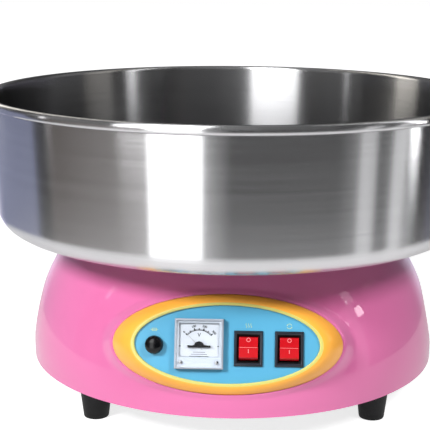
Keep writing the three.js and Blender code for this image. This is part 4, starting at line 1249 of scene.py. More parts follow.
    def _shell(self, pattern: Pattern) -> None:
        """Makes the shell with its pockets, pegs and openings."""
        shell = self._dome()
        vents = [self.vent_matrix(side) for side in (1, -1)]
        added = [self._pocket().object("vent_pocket", vent) for vent in vents]
        peg = self._stub(*self.peg_size, self.peg_chamfer, 24).object("bowl_peg")
        pin = self._stub(*self.pin_size, self.pin_chamfer, 16).object("shield_pin")
        added.append(pattern.repeat(peg, PEG_COUNT, PEG_RING, start=PEG_START))
        added.append(pattern.repeat(pin, PEG_COUNT, PIN_RING, start=PIN_START))
        carve(shell, merged("added", added), Carve.JOIN)
        taken = [self._recess().object("recess", vent) for vent in vents]
        taken.append(self._bezel_seat().object("seat", self.plane.matrix))
        hole, deck = self.shaft_hole, self.deck
        flared = [(hole, deck - 0.8), (hole + 1, deck + 0.2), (hole + 1, deck + 2), (0, deck + 2)]
        shaft = Draft().revolve([(0, deck - 20), (hole, deck - 20), *flared], SMALL_ROUND)
        taken.append(shaft.object("shaft_hole"))
        wide, hole, reach = self.gland_relief, self.gland_hole, self.gland_reach
        steps = [(0, -reach), (wide, -reach), (wide, -self.wall), (hole, -self.wall)]
        gland = Draft().revolve([*steps, (hole, reach), (0, reach)], SMALL_ROUND)
        taken.append(gland.object("gland_hole", self.gland_matrix()))
        carve(shell, merged("taken", taken))
        slots = [self._louvre(i).object("slot", vent) for vent in vents for i in range(self.louvre_count)]
        carve(shell, merged("slots", slots))
        smooth(shell, 32)
        self.shop.fit(shell, PINK, Body.ROOT, "housing_shell")

    def gland_matrix(self) -> Matrix:
        """Gives the place of the cable gland on the rear wall, facing out."""
        height = self.bottom + self.gland_height
        return shift(0, self.radius_at(height) + 0.2, height) @ turn(self.gland_lean - 90, "X")

    def _gland(self) -> None:
        """Makes the cable gland with its ribbed nose."""
        bore = self.gland_bore
        profile = [(bore, -12), (8, -12), (8, 0.3), (11, 0.3), (11, 3.4), (10.4, 4)]
        for rib in range(self.gland_ribs):
            level = 5.0 + 2.6 * rib
            radius = 8.6 - 0.5 * rib
            valley = radius - 0.7
            profile += [(valley, level - 0.6), (valley, level), (radius, level + 0.4), (radius, level + 1.4)]
        profile += [(6.9, 12.6), (6.4, 13), (5, 13), (bore, 12.4)]
        gland = Draft().revolve(profile, SMALL_ROUND).object("cord_gland", self.gland_matrix())
        self.shop.fit(gland, SATIN_BLACK, Body.ROOT, "cable_gland")
        self.shop.dress(SATIN_BLACK, "gland_nut")

    def _plate(self, pattern: Pattern) -> None:
        """Makes the base plate with its slots and holes, a rolled edge and four screws."""
        low, high = Box.of("base_plate").levels
        outer = self.radius - self.wall - self.gap
        profile = [(0, low), (outer - 1, low), (outer, low + 0.5), (outer, high), (0, high)]
        plate = Draft().revolve(profile, FINE).object("floor_plate")
        length, width = self.plate_slot
        through = (low - 2, high + 2)
        slot = Draft().skin([oblong(length, width, width * 0.49, level) for level in through])
        count, ring, start = self.plate_slot_count, self.plate_slot_ring, self.plate_slot_start
        tools = [pattern.repeat(slot.object("slot"), count, ring, start=start)]
        feet = (self.foot_hole, self.foot_ring, 45 + self.foot_twist)
        mounts = (self.mount_hole, self.mount_ring, 45)
        for size, ring, start in (feet, mounts):
            drill = Draft().rod(size, *through, 32).object("drill")
            tools.append(pattern.repeat(drill, 4, ring, start=start))
        carve(plate, merged("plate_tools", tools))
        smooth(plate, 30)
        self.shop.fit(plate, PLATE_STEEL, Body.ROOT, "base_plate")
        screws = []
        steel = self.shop.coat(STEEL)
        for start in self.screw_starts:
            screw = cross_screw("base_screw", *self.screw_size)
            screw.data.transform(turn(180, "X"))
            pattern.repeat(screw, 2, self.screw_ring, low - 0.1, start, self.screw_step, steel)
            screws.append(screw)
        self.shop.fit(merged_in("base_screws", screws, steel), STEEL, Body.ROOT)

    def _feet(self) -> None:
        """Makes the four hollow rubber feet with rounded edges."""
        top, wide, tread = self.foot_top, self.foot_radius, self.foot_tread
        hollow, neck = self.foot_hollow, self.foot_neck
        barb, tip = 35.3, 42.0
        profile = [
            (0, 20), (hollow - 2, 19.4), (hollow, 17), (hollow, 0.6), (hollow + 0.6, 0), (tread - 1.2, 0),
            (tread - 0.4, 0.3), (tread, 1.1), (wide - 0.1, top - 2.6), (wide, top - 1.8), (wide, top - 0.6),
            (wide - 0.6, top), (neck, top), (neck, barb), (neck + 2, barb), (neck + 1.7, barb + 1.1),
            (neck - 0.9, tip), (0, tip),
        ]
        for name in ("foot_front_left", "foot_front_right", "foot_rear_left", "foot_rear_right"):
            centre = Box.of(name).centre
            foot = Draft().revolve(profile, SMALL_ROUND).object(name + "_rubber", shift(centre.x, centre.y))
            self.shop.fit(foot, RUBBER, Body.ROOT, name)

    def build(self, pattern: Pattern) -> None:
        """Makes the shell, the gland, the plate and the feet."""
        self._shell(pattern)
        self._gland()
        self._plate(pattern)
        self._feet()


def cross_screw(name: str, radius: float, height: float, length: float) -> Thing:
    """Makes a pan-head screw along +Z with a cross recess, its shank below the head."""
    shank, reach, half = radius * 0.42, radius * 0.62, radius * 0.11
    dome = arc((0, 0.3), (radius, height - 0.3), 0, 90, 6)[:-1]
    tip = [(0, -length), (shank * 0.6, -length), (shank, -length + 1), (shank, 0), (radius, 0)]
    screw = Draft().revolve([*tip, *dome, (0, height)], 32).object(name)
    tools = []
    for width, depth in ((reach, half), (half, reach)):
        top = oblong(2 * width, 2 * depth, half * 0.5, height + 1, 2)
        low = oblong(1.1 * width, 1.1 * depth, half * 0.3, height * 0.25, 2)
        tools.append(Draft().skin([low, top]).object("cross"))
    for tool in tools:
        carve(screw, tool)
    smooth(screw)
    return screw


def flat_text(words: str, size: float, middle: Pair, degrees: float = 0.0) -> Thing:
    """Makes thin printed characters, centred on a place in millimetres."""
    curve = bpy.data.curves.new("print", "FONT")
    curve.body = words
    curve.size = size * MM
    curve.extrude = 0.02 * MM
    curve.offset = 0.1 * MM
    curve.align_x = "CENTER"
    curve.align_y = "CENTER"
    curve.resolution_u = 4
    outline = linked("print", curve)
    mesh = real_mesh(outline)
    bpy.data.objects.remove(outline)
    mesh.transform(metres(shift(*middle, 0.04) @ turn(degrees, "Z")))
    return linked("print", mesh)


@dataclass(frozen=True)
class Scale:
    """The meter's printed scale about its pivot: lengths in millimetres, angles in degrees."""

    radius: float = 14.7
    ends: Pair = (137.0, 43.0)
    ticks: tuple[tuple[int, float, float], ...] = ((31, 1.3, 0.42), (7, 1.9, 0.8), (4, 2.3, 1.1))
    line_half: float = 0.25
    numbers: tuple[str, ...] = ("0", "100", "200", "300")
    number_ring: float = 18.7
    number_size: float = 2.9
    unit_place: Pair = (0, 10.2)
    unit_size: float = 4.6
    mark_place: float = 18.0
    mark_half: Pair = (1.2, 0.4)
    rules: tuple[float, ...] = (5.6, 7.4, 9.0)
    rule_top: float = -5.4
    rule_pitch: float = 1.9
    rule_half: float = 0.2
    low: float = 0.02
    high: float = 0.06

    def bar(self, name: str, middle: Pair, half_width: float, half_height: float) -> Thing:
        """Prints a plain bar."""
        x, y = middle
        low = (x - half_width, y - half_height, self.low)
        return Draft().block(low, (x + half_width, y + half_height, self.high)).object(name)

    def build(self, pattern: Pattern, ink: Material) -> list[Thing]:
        """Prints the ticks, the line, the numbers, the unit, the end marks and the rules."""
        first, last = self.ends
        printed = []
        for count, length, width in self.ticks:
            tick = self.bar("tick", (length / 2, 0), length / 2, width / 2)
            step = (last - first) / (count - 1)
            printed.append(pattern.repeat(tick, count, self.radius, 0, first, step, ink))
        inner, outer = self.radius - self.line_half, self.radius + self.line_half
        line = arc((0, 0), (inner, inner), first, last, 30) + arc((0, 0), (outer, outer), last, first, 30)
        printed.append(Draft().prism(line, self.low, self.high).object("scale_arc"))
        for index, number in enumerate(self.numbers):
            angle = first + (last - first) * index / (len(self.numbers) - 1)
            x, y, _ = polar(self.number_ring, angle)
            printed.append(flat_text(number, self.number_size, (x, y), angle - 90))
        printed.append(flat_text("V", self.unit_size, self.unit_place))
        printed += [self.bar("end_mark", (side * self.mark_place, 0), *self.mark_half) for side in (-1, 1)]
        for row, half in enumerate(self.rules):
            middle = (0, self.rule_top - self.rule_pitch * row)
            printed.append(self.bar("rule", middle, half, self.rule_half))
        return printed


@dataclass
class ControlPanel:
    """The oval bezel, the blue plate, the meter, the two switches and the fuse cap."""

    shop: Workshop
    plane: PanelPlane
    housing: Housing
    panel_half: Pair = (85.3, 35.8)
    lip_height: float = 2.2
    lip_width: float = 2.4
    edge: float = 1.4
    curve: float = 1.8
    crown_shares: tuple[float, ...] = (
        0.965, 0.93, 0.87, 0.8, 0.72, 0.62, 0.52, 0.42, 0.32, 0.22, 0.12, 0.05,
    )
    lip_highlight_rows: int = 5
    ledge: float = 4.3
    spigot: float = 3.0
    meter: Pair = (-25.6, 0.2)
    pivot: float = -2.3
    dial_level: float = 2.9
    case_bevel: float = 0.45
    screw_place: Point = (16.5, -17.0, 6.4)
    screw_size: Point = (1.7, 0.8, 3.0)
    bridge_half: float = 10.5
    bridge_radius: float = 4.6
    bridge_levels: Pair = (4.0, 5.3)
    bridge_edge: float = 0.25
    switch_u: Pair = (19.8, 57.3)
    switch_v: float = -3.4
    switch_bevel: float = 0.35
    step_half: Pair = (10.5, 13.0)
    step_floor: float = 1.2
    rocker_reach: float = 10.8
    rocker_height: float = 6.0
    rocker_dish: float = 0.8
    rocker_half: float = 8.65
    rocker_pin: float = -1.5
    rocker_edge: float = 0.35
    rocker_rest: float = -9.0
    fuse: Pair = (-67.2, -1.4)
    cap_radius: float = 8.2
    sign_rise: Pair = (14.0, 21.0)
    sign_print: float = 0.05

    def _bezel(self) -> None:
        """Makes the bezel as one ring of loops, from its outer edge over the lip and back underneath. The
        lip's rows take a paler copy of the yellow, a painted highlight where light catches the lip.
        """
        (outer_w, outer_h), (inner_w, inner_h) = self.housing.bezel_half, self.panel_half
        foot, gap, top = self.housing.foot, self.housing.gap, self.lip_height
        lip_w, lip_h = inner_w + self.lip_width, inner_h + self.lip_width

        def crown(share: float) -> list[Point]:
            """Gives a loop on the sloping face: 0 at the lip, 1 at the outer edge."""
            width = lip_w + (outer_w - lip_w) * share
            height = lip_h + (outer_h - lip_h) * share
            drop = share ** self.curve
            return oval(width, height, lambda a: top + (foot(a) + self.edge - top) * drop)

        loops = [
            oval(outer_w - inset, outer_h - inset, lambda a, rise=rise: foot(a) + rise)
            for inset, rise in ((0, 0), (0, 0.5), (0.15, 1.1))
        ]
        loops += [crown(share) for share in self.crown_shares]
        # The lip's rows get the paler yellow, a painted highlight on the lip.
        pale = range(len(loops) - 1, len(loops) + self.lip_highlight_rows)
        loops += [
            oval(inner_w + grow, inner_h + grow, lambda _, level=level: level)
            for grow, level in (
                (self.lip_width - 0.3, top), (1.0, top), (0.45, top - 0.12), (0.12, top - 0.45),
                (0, top - 0.9), (0, gap), (self.ledge, gap),
            )
        ]
        opening_w, opening_h = self.housing.opening_half
        spigot = (opening_w - gap, opening_h - gap)
        loops.append(oval(inner_w + self.ledge, inner_h + self.ledge, lambda a: foot(a) - self.spigot))
        loops.append(oval(*spigot, lambda a: foot(a) - self.spigot))
        loops.append(oval(*spigot, foot))
        bezel = Draft().skin(loops, hollow=True).object("bezel_oval", self.plane.matrix, 40)
        coated(bezel, self.shop.coat(YELLOW), self.shop.coat(LIP_HIGHLIGHT_YELLOW))
        for index, face in enumerate(bezel.data.polygons):
            if index // FINE in pale:
                face.material_index = 1
        self.shop.fit(bezel, YELLOW, Body.ROOT, "bezel_ring")

    def _meter(self, pattern: Pattern) -> None:
        """Makes the meter's case, dial, needle cover and screws."""
        shop = self.shop
        case = refined("voltmeter_case", "meter_case", self.case_bevel, shop.frame)
        shop.fit(case, WHITE, Body.ROOT, "voltmeter_case")
        shop.dress(DIAL, "voltmeter_dial")
        shop.dress(WINDOW, "voltmeter_window")
        shop.dress(STEEL, "voltmeter_movement")
        printed = merged_in("dial_print", Scale().build(pattern, shop.coat(INK)), shop.coat(INK))
        printed.data.transform(metres(self._pivot_place(self.dial_level)))
        shop.fit(printed, INK, Body.ROOT)
        self._bridge()
        shop.dress(POINTER, "voltmeter_needle")
        shop.frame["nodes"]["voltmeter_window"].visible_shadow = False
        across, down, level = self.screw_place
        screws = []
        for side in (-1, 1):
            screw = cross_screw("meter_screw", *self.screw_size)
            place = self.plane.at(self.meter[0] + side * across, self.meter[1] + down, level)
            screw.data.transform(metres(place))
            screws.append(screw)
        shop.fit(merged_in("meter_screws", screws, shop.coat(STEEL)), STEEL, Body.ROOT)

    def _pivot_place(self, level: float = 0.0) -> Matrix:
        """Gives the place of the needle's pivot at a level over the panel."""
        return self.plane.at(self.meter[0], self.meter[1] + self.pivot, level)

    def _bridge(self) -> None:
        """Makes the black half disc and bar over the needle's pivot."""
        half, radius, (bottom, top) = self.bridge_half, self.bridge_radius, self.bridge_levels
        bar, side_x = 0.9, radius * 0.98
        disc = [(-half, -bar), (half, -bar), (half, bar), (side_x, bar)]
        disc += [*arc((0, 0), (radius, radius), 12, 168, 24), (-side_x, bar), (-half, bar)]
        draft = Draft().prism(disc, bottom, top, self.bridge_edge)
        for end in (1 - half, half - 1):
            draft.block((end - 1, -bar, 3.2), (end + 1, bar, bottom + 0.4))
        cover = draft.object("pivot_cover", self._pivot_place())
        self.shop.fit(cover, BLACK, Body.ROOT, "voltmeter_bridge")

    def _rocker_outline(self) -> list[Pair]:
        """Gives a rocker's side outline about its pin: a shallow dished face on a rounded body."""
        reach, height = self.rocker_reach, self.rocker_height
        end = math.degrees(math.asin(height / reach))
        left = arc((0, 0), (reach, reach), end - 1, -8, 8)
        tip = reach * math.cos(math.radians(end)) - 0.5
        shares = [-1 + 2 * i / 24 for i in range(1, 24)]
        face = [(share * tip, height - self.rocker_dish * (1 - abs(share) ** 1.3)) for share in shares]
        right = [(-x, y) for x, y in reversed(left)]
        return [(0.0, -3.0), *right, *face, *left]

    def _sink(self, frame_piece: Thing, place: Matrix) -> None:
        """Cuts a shallow step round a switch's window and makes all inside it near-black, painted shade for
        the deep unlit recess.
        """
        (half_u, half_v), floor = self.step_half, self.step_floor
        step = Draft().block((-half_u, -half_v, floor), (half_u, half_v, floor + 5))
        carve(frame_piece, step.object("step", place))
        coated(frame_piece, self.shop.coat(SLATE), self.shop.coat(RECESS_SHADE_BLACK))
        back = place.inverted()
        # Faces inside the step take the near-black second material, painted shade in the recess.
        for face in frame_piece.data.polygons:
            local = back @ (face.center / MM)
            if abs(local.x) < half_u + 0.1 and abs(local.y) < half_v + 0.1 and local.z < floor + 0.9:
                face.material_index = 1

    def _paddle(self) -> Draft:
        """Gives a rocker with its two pins, its face upwards."""
        half = self.rocker_half
        rocker = Draft().prism(self._rocker_outline(), -half, half, self.rocker_edge)
        rocker.moved(turn(90, "Z") @ turn(90, "X"))
        for side in (-1, 1):
            pin = Draft().revolve([(0, 0), (1.4, 0), (1.4, 1.7), (1.2, 1.9), (0, 1.9)], 24)
            rocker.add(pin.moved(shift(side * (half - 0.1), 0) @ turn(90 * side, "Y")))
        return rocker

    def _marks_and_highlight(self) -> Draft:
        """Gives the printed ring and bar that a rocker bears, and a pale line across its middle that is a
        painted highlight along the ridge.
        """
        marks = Draft().revolve([(1.35, 0), (2.0, 0), (2.0, 0.12), (1.35, 0.12)], 40)
        # The thin pale bar across the rocker's middle is a painted highlight along its ridge; the ring moved
        # here and the bar below are print.
        marks.moved(shift(0, 7.2, 5.85) @ turn(6, "X")).block((-8.2, 0.1, 5.1), (8.2, 0.45, 5.42))
        bar = Draft().block((-0.36, -1.7, 0), (0.36, 1.7, 0.12))
        return marks.add(bar.moved(shift(0, -3.2, 5.45) @ turn(-5, "X")))

    def _switch(self, name: str, u: float, body: Body) -> None:
        """Makes one switch: its frame, its red rocker, the printed marks on it and the painted highlight
        across its middle.
        """
        frame_piece = refined(name + "_switch_frame", name + "_frame", self.switch_bevel, self.shop.frame)
        self._sink(frame_piece, self.plane.at(u, self.switch_v))
        self.shop.fit(frame_piece, SLATE, Body.ROOT, name + "_switch_frame")
        place = self.plane.at(u, self.switch_v, self.rocker_pin) @ turn(self.rocker_rest, "X")
        self.shop.fit(self._paddle().object(name + "_paddle", place, 38), RED, body, name + "_rocker")
        self.shop.fit(self._marks_and_highlight().object(name + "_marks_and_highlight", place), MARK_AND_HIGHLIGHT, body)

    def _fuse(self) -> None:
        """Makes the fuse cap with its domed top and the flange of its holder."""
        place, radius = self.plane.at(*self.fuse), self.cap_radius
        dome = arc((0, 4.3), (radius, 5.0), 0, 90, 14)[:-1]
        cap = [(0, 3.5), (4.3, 3.5), (4.3, 2.3), (radius - 0.3, 2.3), (radius, 2.7), *dome, (0, 9.3)]
        self.shop.fit(Draft().revolve(cap).object("fuse_dome", place, 40), BLACK, Body.FUSE_CAP, "fuse_cap")
        flange = [
            (0, -28), (5.6, -28), (6, -27.6), (6, 0.3), (8.5, 0.3), (8.5, 1.6), (8.1, 2.0), (4.2, 2.0),
            (4.2, -26.5), (0, -26.5),
        ]
        holder = Draft().revolve(flange, SMALL_ROUND).object("fuse_socket", place, 40)
        self.shop.fit(holder, SATIN_BLACK, Body.ROOT, "fuse_holder")
        self.shop.dress(SATIN_BLACK, "fuse_holder_nut")
        self.shop.dress(GLASS, "glass_fuse")
        self.shop.dress(BRASS, "fuse_carrier")

    def _labels(self) -> None:
        """Prints a plain sign above the fuse, the heater switch and the motor switch."""
        marks, thick = [], self.sign_print
        fuse_rise, switch_rise = self.sign_rise
        fuse, heat, spin = (
            self.plane.at(u, v, 0.01)
            for u, v in (
                (self.fuse[0], self.fuse[1] + fuse_rise),
                (self.switch_u[0], self.switch_v + switch_rise),
                (self.switch_u[1], self.switch_v + switch_rise),
            )
        )
        bars = [(-3.6, -0.2, 3.6, 0.2), (-2.2, 0.9, 2.2, 1.3), (-2.2, -1.3, 2.2, -0.9)]
        bars += [(-2.2, -1.3, -1.8, 1.3), (1.8, -1.3, 2.2, 1.3)]
        for x0, y0, x1, y1 in bars:
            marks.append(Draft().block((x0, y0, 0), (x1, y1, thick)).object("sign", fuse))
        for wave in (-2.2, 0, 2.2):
            bends = [(wave + 0.45 * math.sin(2 * math.pi * i / 12), -2 + 4 * i / 12) for i in range(13)]
            line = [(x - 0.22, y) for x, y in bends] + [(x + 0.22, y) for x, y in reversed(bends)]
            marks.append(Draft().prism(line, 0, thick).object("sign", heat))
        for start in (20, 200):
            end = start + 130
            band = arc((0, 0), (2.4, 2.4), start, end, 20) + arc((0, 0), (2.0, 2.0), end, start, 20)
            corners = ((1.4, end), (3.0, end), (2.2, end + 22))
            tip = [polar(radius, angle)[:2] for radius, angle in corners]
            marks += [Draft().prism(shape, 0, thick).object("sign", spin) for shape in (band, tip)]
        self.shop.fit(merged_in("panel_signs", marks, self.shop.coat(LABEL)), LABEL, Body.ROOT)

    def build(self, pattern: Pattern) -> None:
        """Makes everything on the panel."""
        self._bezel()
        self.shop.dress(BLUE, "control_panel")
        self._meter(pattern)
        self._switch("heater", self.switch_u[0], Body.HEATER_ROCKER)
        self._switch("motor", self.switch_u[1], Body.MOTOR_ROCKER)
        self._fuse()
        self._labels()


@dataclass
class SpinnerHead:
    """The head that spins in the bowl: dish, heater, slotted band, cover, hub and nuts."""

    shop: Workshop
    radius: float = 78.0
    wall: float = 1.5
    band_radius: float = 70.0
    band_wall: float = 1.2
    slots: int = 36
    slot_width: float = 4.0
    slot_margin: float = 4.0
    heater_radius: float = 58.0
    heater_tube: float = 3.5
    heater_gap: float = 24.0
    heater_bend: float = 8.0
    post_count: int = 3
    post_start: float = 30.0
    stud_count: int = 4
    stud_ring: float = 74.2
    stud_radius: float = 1.5
    stud_hole: float = 1.8
    lead_hole: float = 4.5
    shaft_radius: float = 6.0
    shaft_fit: float = 6.3
    sugar_hole: float = 30.0
    cover_rise: float = 10.0
    land_height: float = 3.0
    cover_nut: Point = (5.5, 2.4, 1.6)
    hub_nut: Point = (20.0, 6.0, 6.3)

    def _dish(self, pattern: Pattern) -> None:
        """Makes the dish with its rolled lip, the lead holes and the four studs."""
        low, top = Box.of("head_base").levels
        floor, lip = low + 2, low + 8
        r, wall, bore = self.radius, self.wall, self.shaft_fit
        profile = [
            (bore, low), (r - 3, low), (r - 1.6, low + 0.4), (r - 0.4, low + 1.6), (r, low + 3),
            (r, lip - 0.4), (r - 0.4, lip), (r - wall + 0.4, lip), (r - wall, lip - 0.4),
            (r - wall, floor + 0.6), (r - wall - 0.6, floor), (bore, floor),
        ]
        dish = Draft().revolve(profile).object("head_dish")
        drill = Draft().rod(self.lead_hole, low - 2, floor + 2, 24).object("lead_drill")
        half = self.heater_gap / 2
        carve(dish, pattern.repeat(drill, 2, self.heater_radius, start=90 - half, step=2 * half))
        size = self.stud_radius
        stud = [(0, floor - 1), (size, floor - 1), (size, top - 0.3), (size - 0.3, top), (0, top)]
        studs = pattern.repeat(Draft().revolve(stud, 20).object("stud"), self.stud_count, self.stud_ring)
        carve(dish, studs, Carve.JOIN)
        smooth(dish)
        self.shop.fit(dish, SPUN, Body.SPINNER, "head_base")

    def _band(self, pattern: Pattern) -> None:
        """Makes the slotted band from one panel repeated round the turn."""
        low, high = Box.of("head_screen").levels
        share = 2 * math.pi / self.slots
        half_width, half_height = self.slot_width / 2, (high - low) / 2 - self.slot_margin
        middle = (low + high) / 2
        steps = 6
        half_edge = [(share * (i / steps - 0.5), -1.0) for i in range(steps)]
        half_edge += [(share / 2, -1 + 2 * i / steps) for i in range(steps)]
        edge = half_edge + [(-across, -up) for across, up in half_edge]
        count = len(edge)
        straight = half_height - half_width
        hole = []
        for x, y, _ in (polar(1.0, 360 * i / count - 135) for i in range(count)):
            hole.append((half_width * x, (straight if y > 0 else -straight) + half_width * y))

        def ring(points: Sequence[Pair], radius: float, is_edge: bool) -> list[Point]:
            """Bends a loop round the band at a radius."""
            loop = []
            for across, up in points:
                angle = across if is_edge else across / self.band_radius
                height = middle + up * (high - low) / 2 if is_edge else middle + up
                loop.append((radius * math.cos(angle), radius * math.sin(angle), height))
            return loop

        inner, outer = self.band_radius, self.band_radius + self.band_wall
        rings = [ring(edge, outer, True), ring(hole, outer, False)]
        rings += [ring(hole, inner, False), ring(edge, inner, True)]
        draft = Draft().skin(rings, capped=False)
        verts = list(draft.mesh.verts)
        first, last = verts[:count], verts[3 * count:]
        for i in range(count):
            j = (i + 1) % count
            if (i // steps) in (0, 2):
                draft.mesh.faces.new((first[i], last[i], last[j], first[j]))
        panel = draft.object("slotted_band")
        band = pattern.repeat(panel, self.slots, 0, material=self.shop.coat(SPUN), weld=0.02)
        smooth(band, 40)
        self.shop.fit(band, SPUN, Body.SPINNER, "head_screen")

    def _heater(self, tube: Tube, pattern: Pattern) -> None:
        """Makes the heater tube with its bent ends and the ceramic posts under it."""
        low, top = Box.of("heater_ring").levels
        level = top - self.heater_tube
        ring, bend, steps = self.heater_radius, self.heater_bend, ROUND
        angle = math.degrees(bend / ring)
        start, end = 90 + self.heater_gap / 2, 450 - self.heater_gap / 2
        corner = [(1 - math.cos(math.radians(a)), 1 - math.sin(math.radians(a))) for a in range(0, 91, 15)]
        span = end - start - 2 * angle
        path = [polar(ring, start, low)]
        path += [polar(ring, start + angle * a, level - bend * b) for a, b in corner]
        path += [polar(ring, start + angle + span * i / steps, level) for i in range(1, steps)]
        path += [polar(ring, end - angle * a, level - bend * b) for a, b in reversed(corner)]
        path.append(polar(ring, end, low))
        coil = tube.sweep("heater_tube", path, self.heater_tube, self.shop.coat(HEATER))
        self.shop.fit(coil, HEATER, Body.SPINNER, "heater_ring")
        bottom, top = Box.of("heater_post_1").levels
        waist = (bottom + top) / 2
        profile = [
            (0, bottom), (4.2, bottom), (4.5, bottom + 0.3), (4.4, bottom + 2), (3.6, waist),
            (3.6, top - 1.2), (3.5, top - 0.3), (3.2, top), (0, top),
        ]
        posts = Draft().revolve(profile, 32).object("ceramic_posts")
        coat = self.shop.coat(CERAMIC)
        pattern.repeat(posts, self.post_count, ring, start=self.post_start, material=coat)
        smooth(posts, 40)
        self.shop.fit(posts, CERAMIC, Body.SPINNER, "heater_post_1", "heater_post_2", "heater_post_3")

    def _cover(self, pattern: Pattern) -> None:
        """Makes the cover with its sugar funnel and the nuts that hold it."""
        low, top = Box.of("head_cover").levels
        base = top - self.cover_rise
        land = base + self.land_height
        r, hole = self.radius, self.sugar_hole
        profile = [
            (hole, low), (hole + 1.5, low), (hole + 6, top - 3), (r - 10, base), (r - 0.5, base),
            (r, base + 0.5), (r, land - 0.8), (r - 0.8, land), (r - 8, land), (r - 9, land + 0.2),
            (hole + 8, top - 0.4), (hole + 5, top), (hole + 3, top - 0.2), (hole + 1.6, top - 1),
            (hole, low + 2),
        ]
        cover = Draft().revolve(profile).object("head_cap", sharp=40)
        drill = Draft().rod(self.stud_hole, base - 2, land + 2, 20).object("stud_drill")
        carve(cover, pattern.repeat(drill, self.stud_count, self.stud_ring))
        smooth(cover, 40)
        self.shop.fit(cover, SPUN, Body.SPINNER, "head_cover")
        nut = hexagon_nut("cover_nuts", *self.cover_nut)
        coat = self.shop.coat(STEEL)
        pattern.repeat(nut, self.stud_count, self.stud_ring, land + 0.2, material=coat)
        smooth(nut, 30)
        self.shop.fit(nut, STEEL, Body.SPINNER)

    def _hub(self) -> None:
        """Makes the hub, the shaft and its nut."""
        (low, high), bore = Box.of("head_hub").levels, self.shaft_fit
        flange = high - 4
        profile = [
            (bore, low), (12.4, low), (13, low + 0.6), (13, flange - 1.5), (14.5, flange), (25.5, flange),
            (26, flange + 0.5), (26, high - 0.5), (25.5, high), (bore, high),
        ]
        self.shop.fit(Draft().revolve(profile).object("hub"), SPUN, Body.SPINNER, "head_hub")
        (low, high), size = Box.of("motor_shaft").levels, self.shaft_radius
        profile = [
            (2.5, low), (size - 0.6, low), (size, low + 0.6), (size, high - 0.8), (size - 0.8, high),
            (2.9, high), (2.5, high - 0.4),
        ]
        shaft = Draft().revolve(profile, SMALL_ROUND).object("shaft")
        self.shop.fit(shaft, STEEL, Body.SPINNER, "motor_shaft")
        nut = hexagon_nut("hub_nut", *self.hub_nut)
        nut.data.transform(metres(shift(0, 0, Box.of("shaft_nut").low.z)))
        self.shop.fit(nut, STEEL, Body.SPINNER, "shaft_nut")

    def build(self, pattern: Pattern, tube: Tube) -> None:
        """Makes the whole head."""
        self._dish(pattern)
        self._band(pattern)
        self._heater(tube, pattern)
        self._cover(pattern)
        self._hub()


def hexagon_nut(name: str, across: float, height: float, bore: float, edge: float = 0.3) -> Thing:
    """Makes a hexagon nut standing on the origin, with its corners turned off."""
    corner = across / math.sqrt(3)
    count = SMALL_ROUND
    chamfer = (corner - across / 2) * 0.6

    def rim(level: float, limit: float) -> list[Point]:
        """Gives a hexagon's loop, cut back to a largest radius."""
        loop = []
        for i in range(count):
            degrees = 360 * i / count
            flat = (across / 2) / math.cos(math.radians((degrees % 60) - 30))
            loop.append(polar(min(flat, limit), degrees, level))
        return loop

    def hole(level: float, radius: float) -> list[Point]:
        """Gives the bore's loop at a level."""
        return [polar(radius, 360 * i / count, level) for i in range(count)]

    turned = across / 2 + 0.02
    loops = [
        rim(0, turned), rim(chamfer, corner), rim(height - chamfer, corner), rim(height, turned),
        hole(height, bore + edge), hole(height - edge, bore), hole(edge, bore), hole(0, bore + edge),
    ]
    return Draft().skin(loops, hollow=True).object(name, sharp=25)


@dataclass
class Drive:
    """The motor and its slip rings under the deck, which keep their solids."""

    shop: Workshop

    def build(self) -> None:
        """Gives each hidden piece of the drive its finish."""
        dress = self.shop.dress
        dress(RUBBER, "motor_mount_1", "motor_mount_2", "motor_mount_3", "motor_mount_4")
        dress(PLATE_STEEL, "motor_bracket", "motor_can")
        dress(CAST, "motor_lower_bell", "motor_upper_bell")
        dress(COPPER, "motor_stator")
        dress(LAMINATIONS, "motor_rotor")
        dress(STEEL, "lower_bearing", "upper_bearing", "motor_bolt_1", "motor_bolt_2")
        dress(BROWN, "slip_ring_sleeve", "brush_holder")
        dress(BRASS, "lower_slip_ring", "upper_slip_ring")
        dress(CARBON, "lower_carbon_brush", "upper_carbon_brush")


def grey(level: float) -> Colour:
    """Gives a neutral light level."""
    return level, level, level


@dataclass(frozen=True)
class Panel:
    """One upright panel of the studio, seen only in reflections: its angles and the light at each edge."""

    start: float
    end: float
    first: Colour
    last: Colour | None = None

    def colour(self, share: float) -> Colour:
        """Gives the light at a share of the way across, which is even when no last one is given."""
        return tuple(Vector(self.first).lerp(Vector(self.last or self.first), share))


@dataclass(frozen=True)
class Lamp:
    """A soft square lamp that no reflection shows, in metres and watts."""

    name: str
    place: Point
    size: float
    power: float
    aim: Point = (0, 0, 0.12)

    def hang(self) -> None:
        """Puts the lamp in the scene."""
        data = bpy.data.lights.new(self.name, "AREA")
        data.size = self.size
        data.energy = self.power
        lamp = linked(self.name, data)
        lamp.location = self.place
        lamp.rotation_euler = (Vector(self.aim) - Vector(self.place)).to_track_quat("-Z", "Y").to_euler()
        lamp.visible_glossy = False


@dataclass(frozen=True)
class Spark:
    """A small bright spot on the studio's wall: angle, height in metres, half sizes and light."""

    angle: float
    height: float
    half_angle: float
    half_height: float
    level: float

    @property
    def panel(self) -> Panel:
        """The spot as a panel."""
        return Panel(self.angle - self.half_angle, self.angle + self.half_angle, grey(self.level))


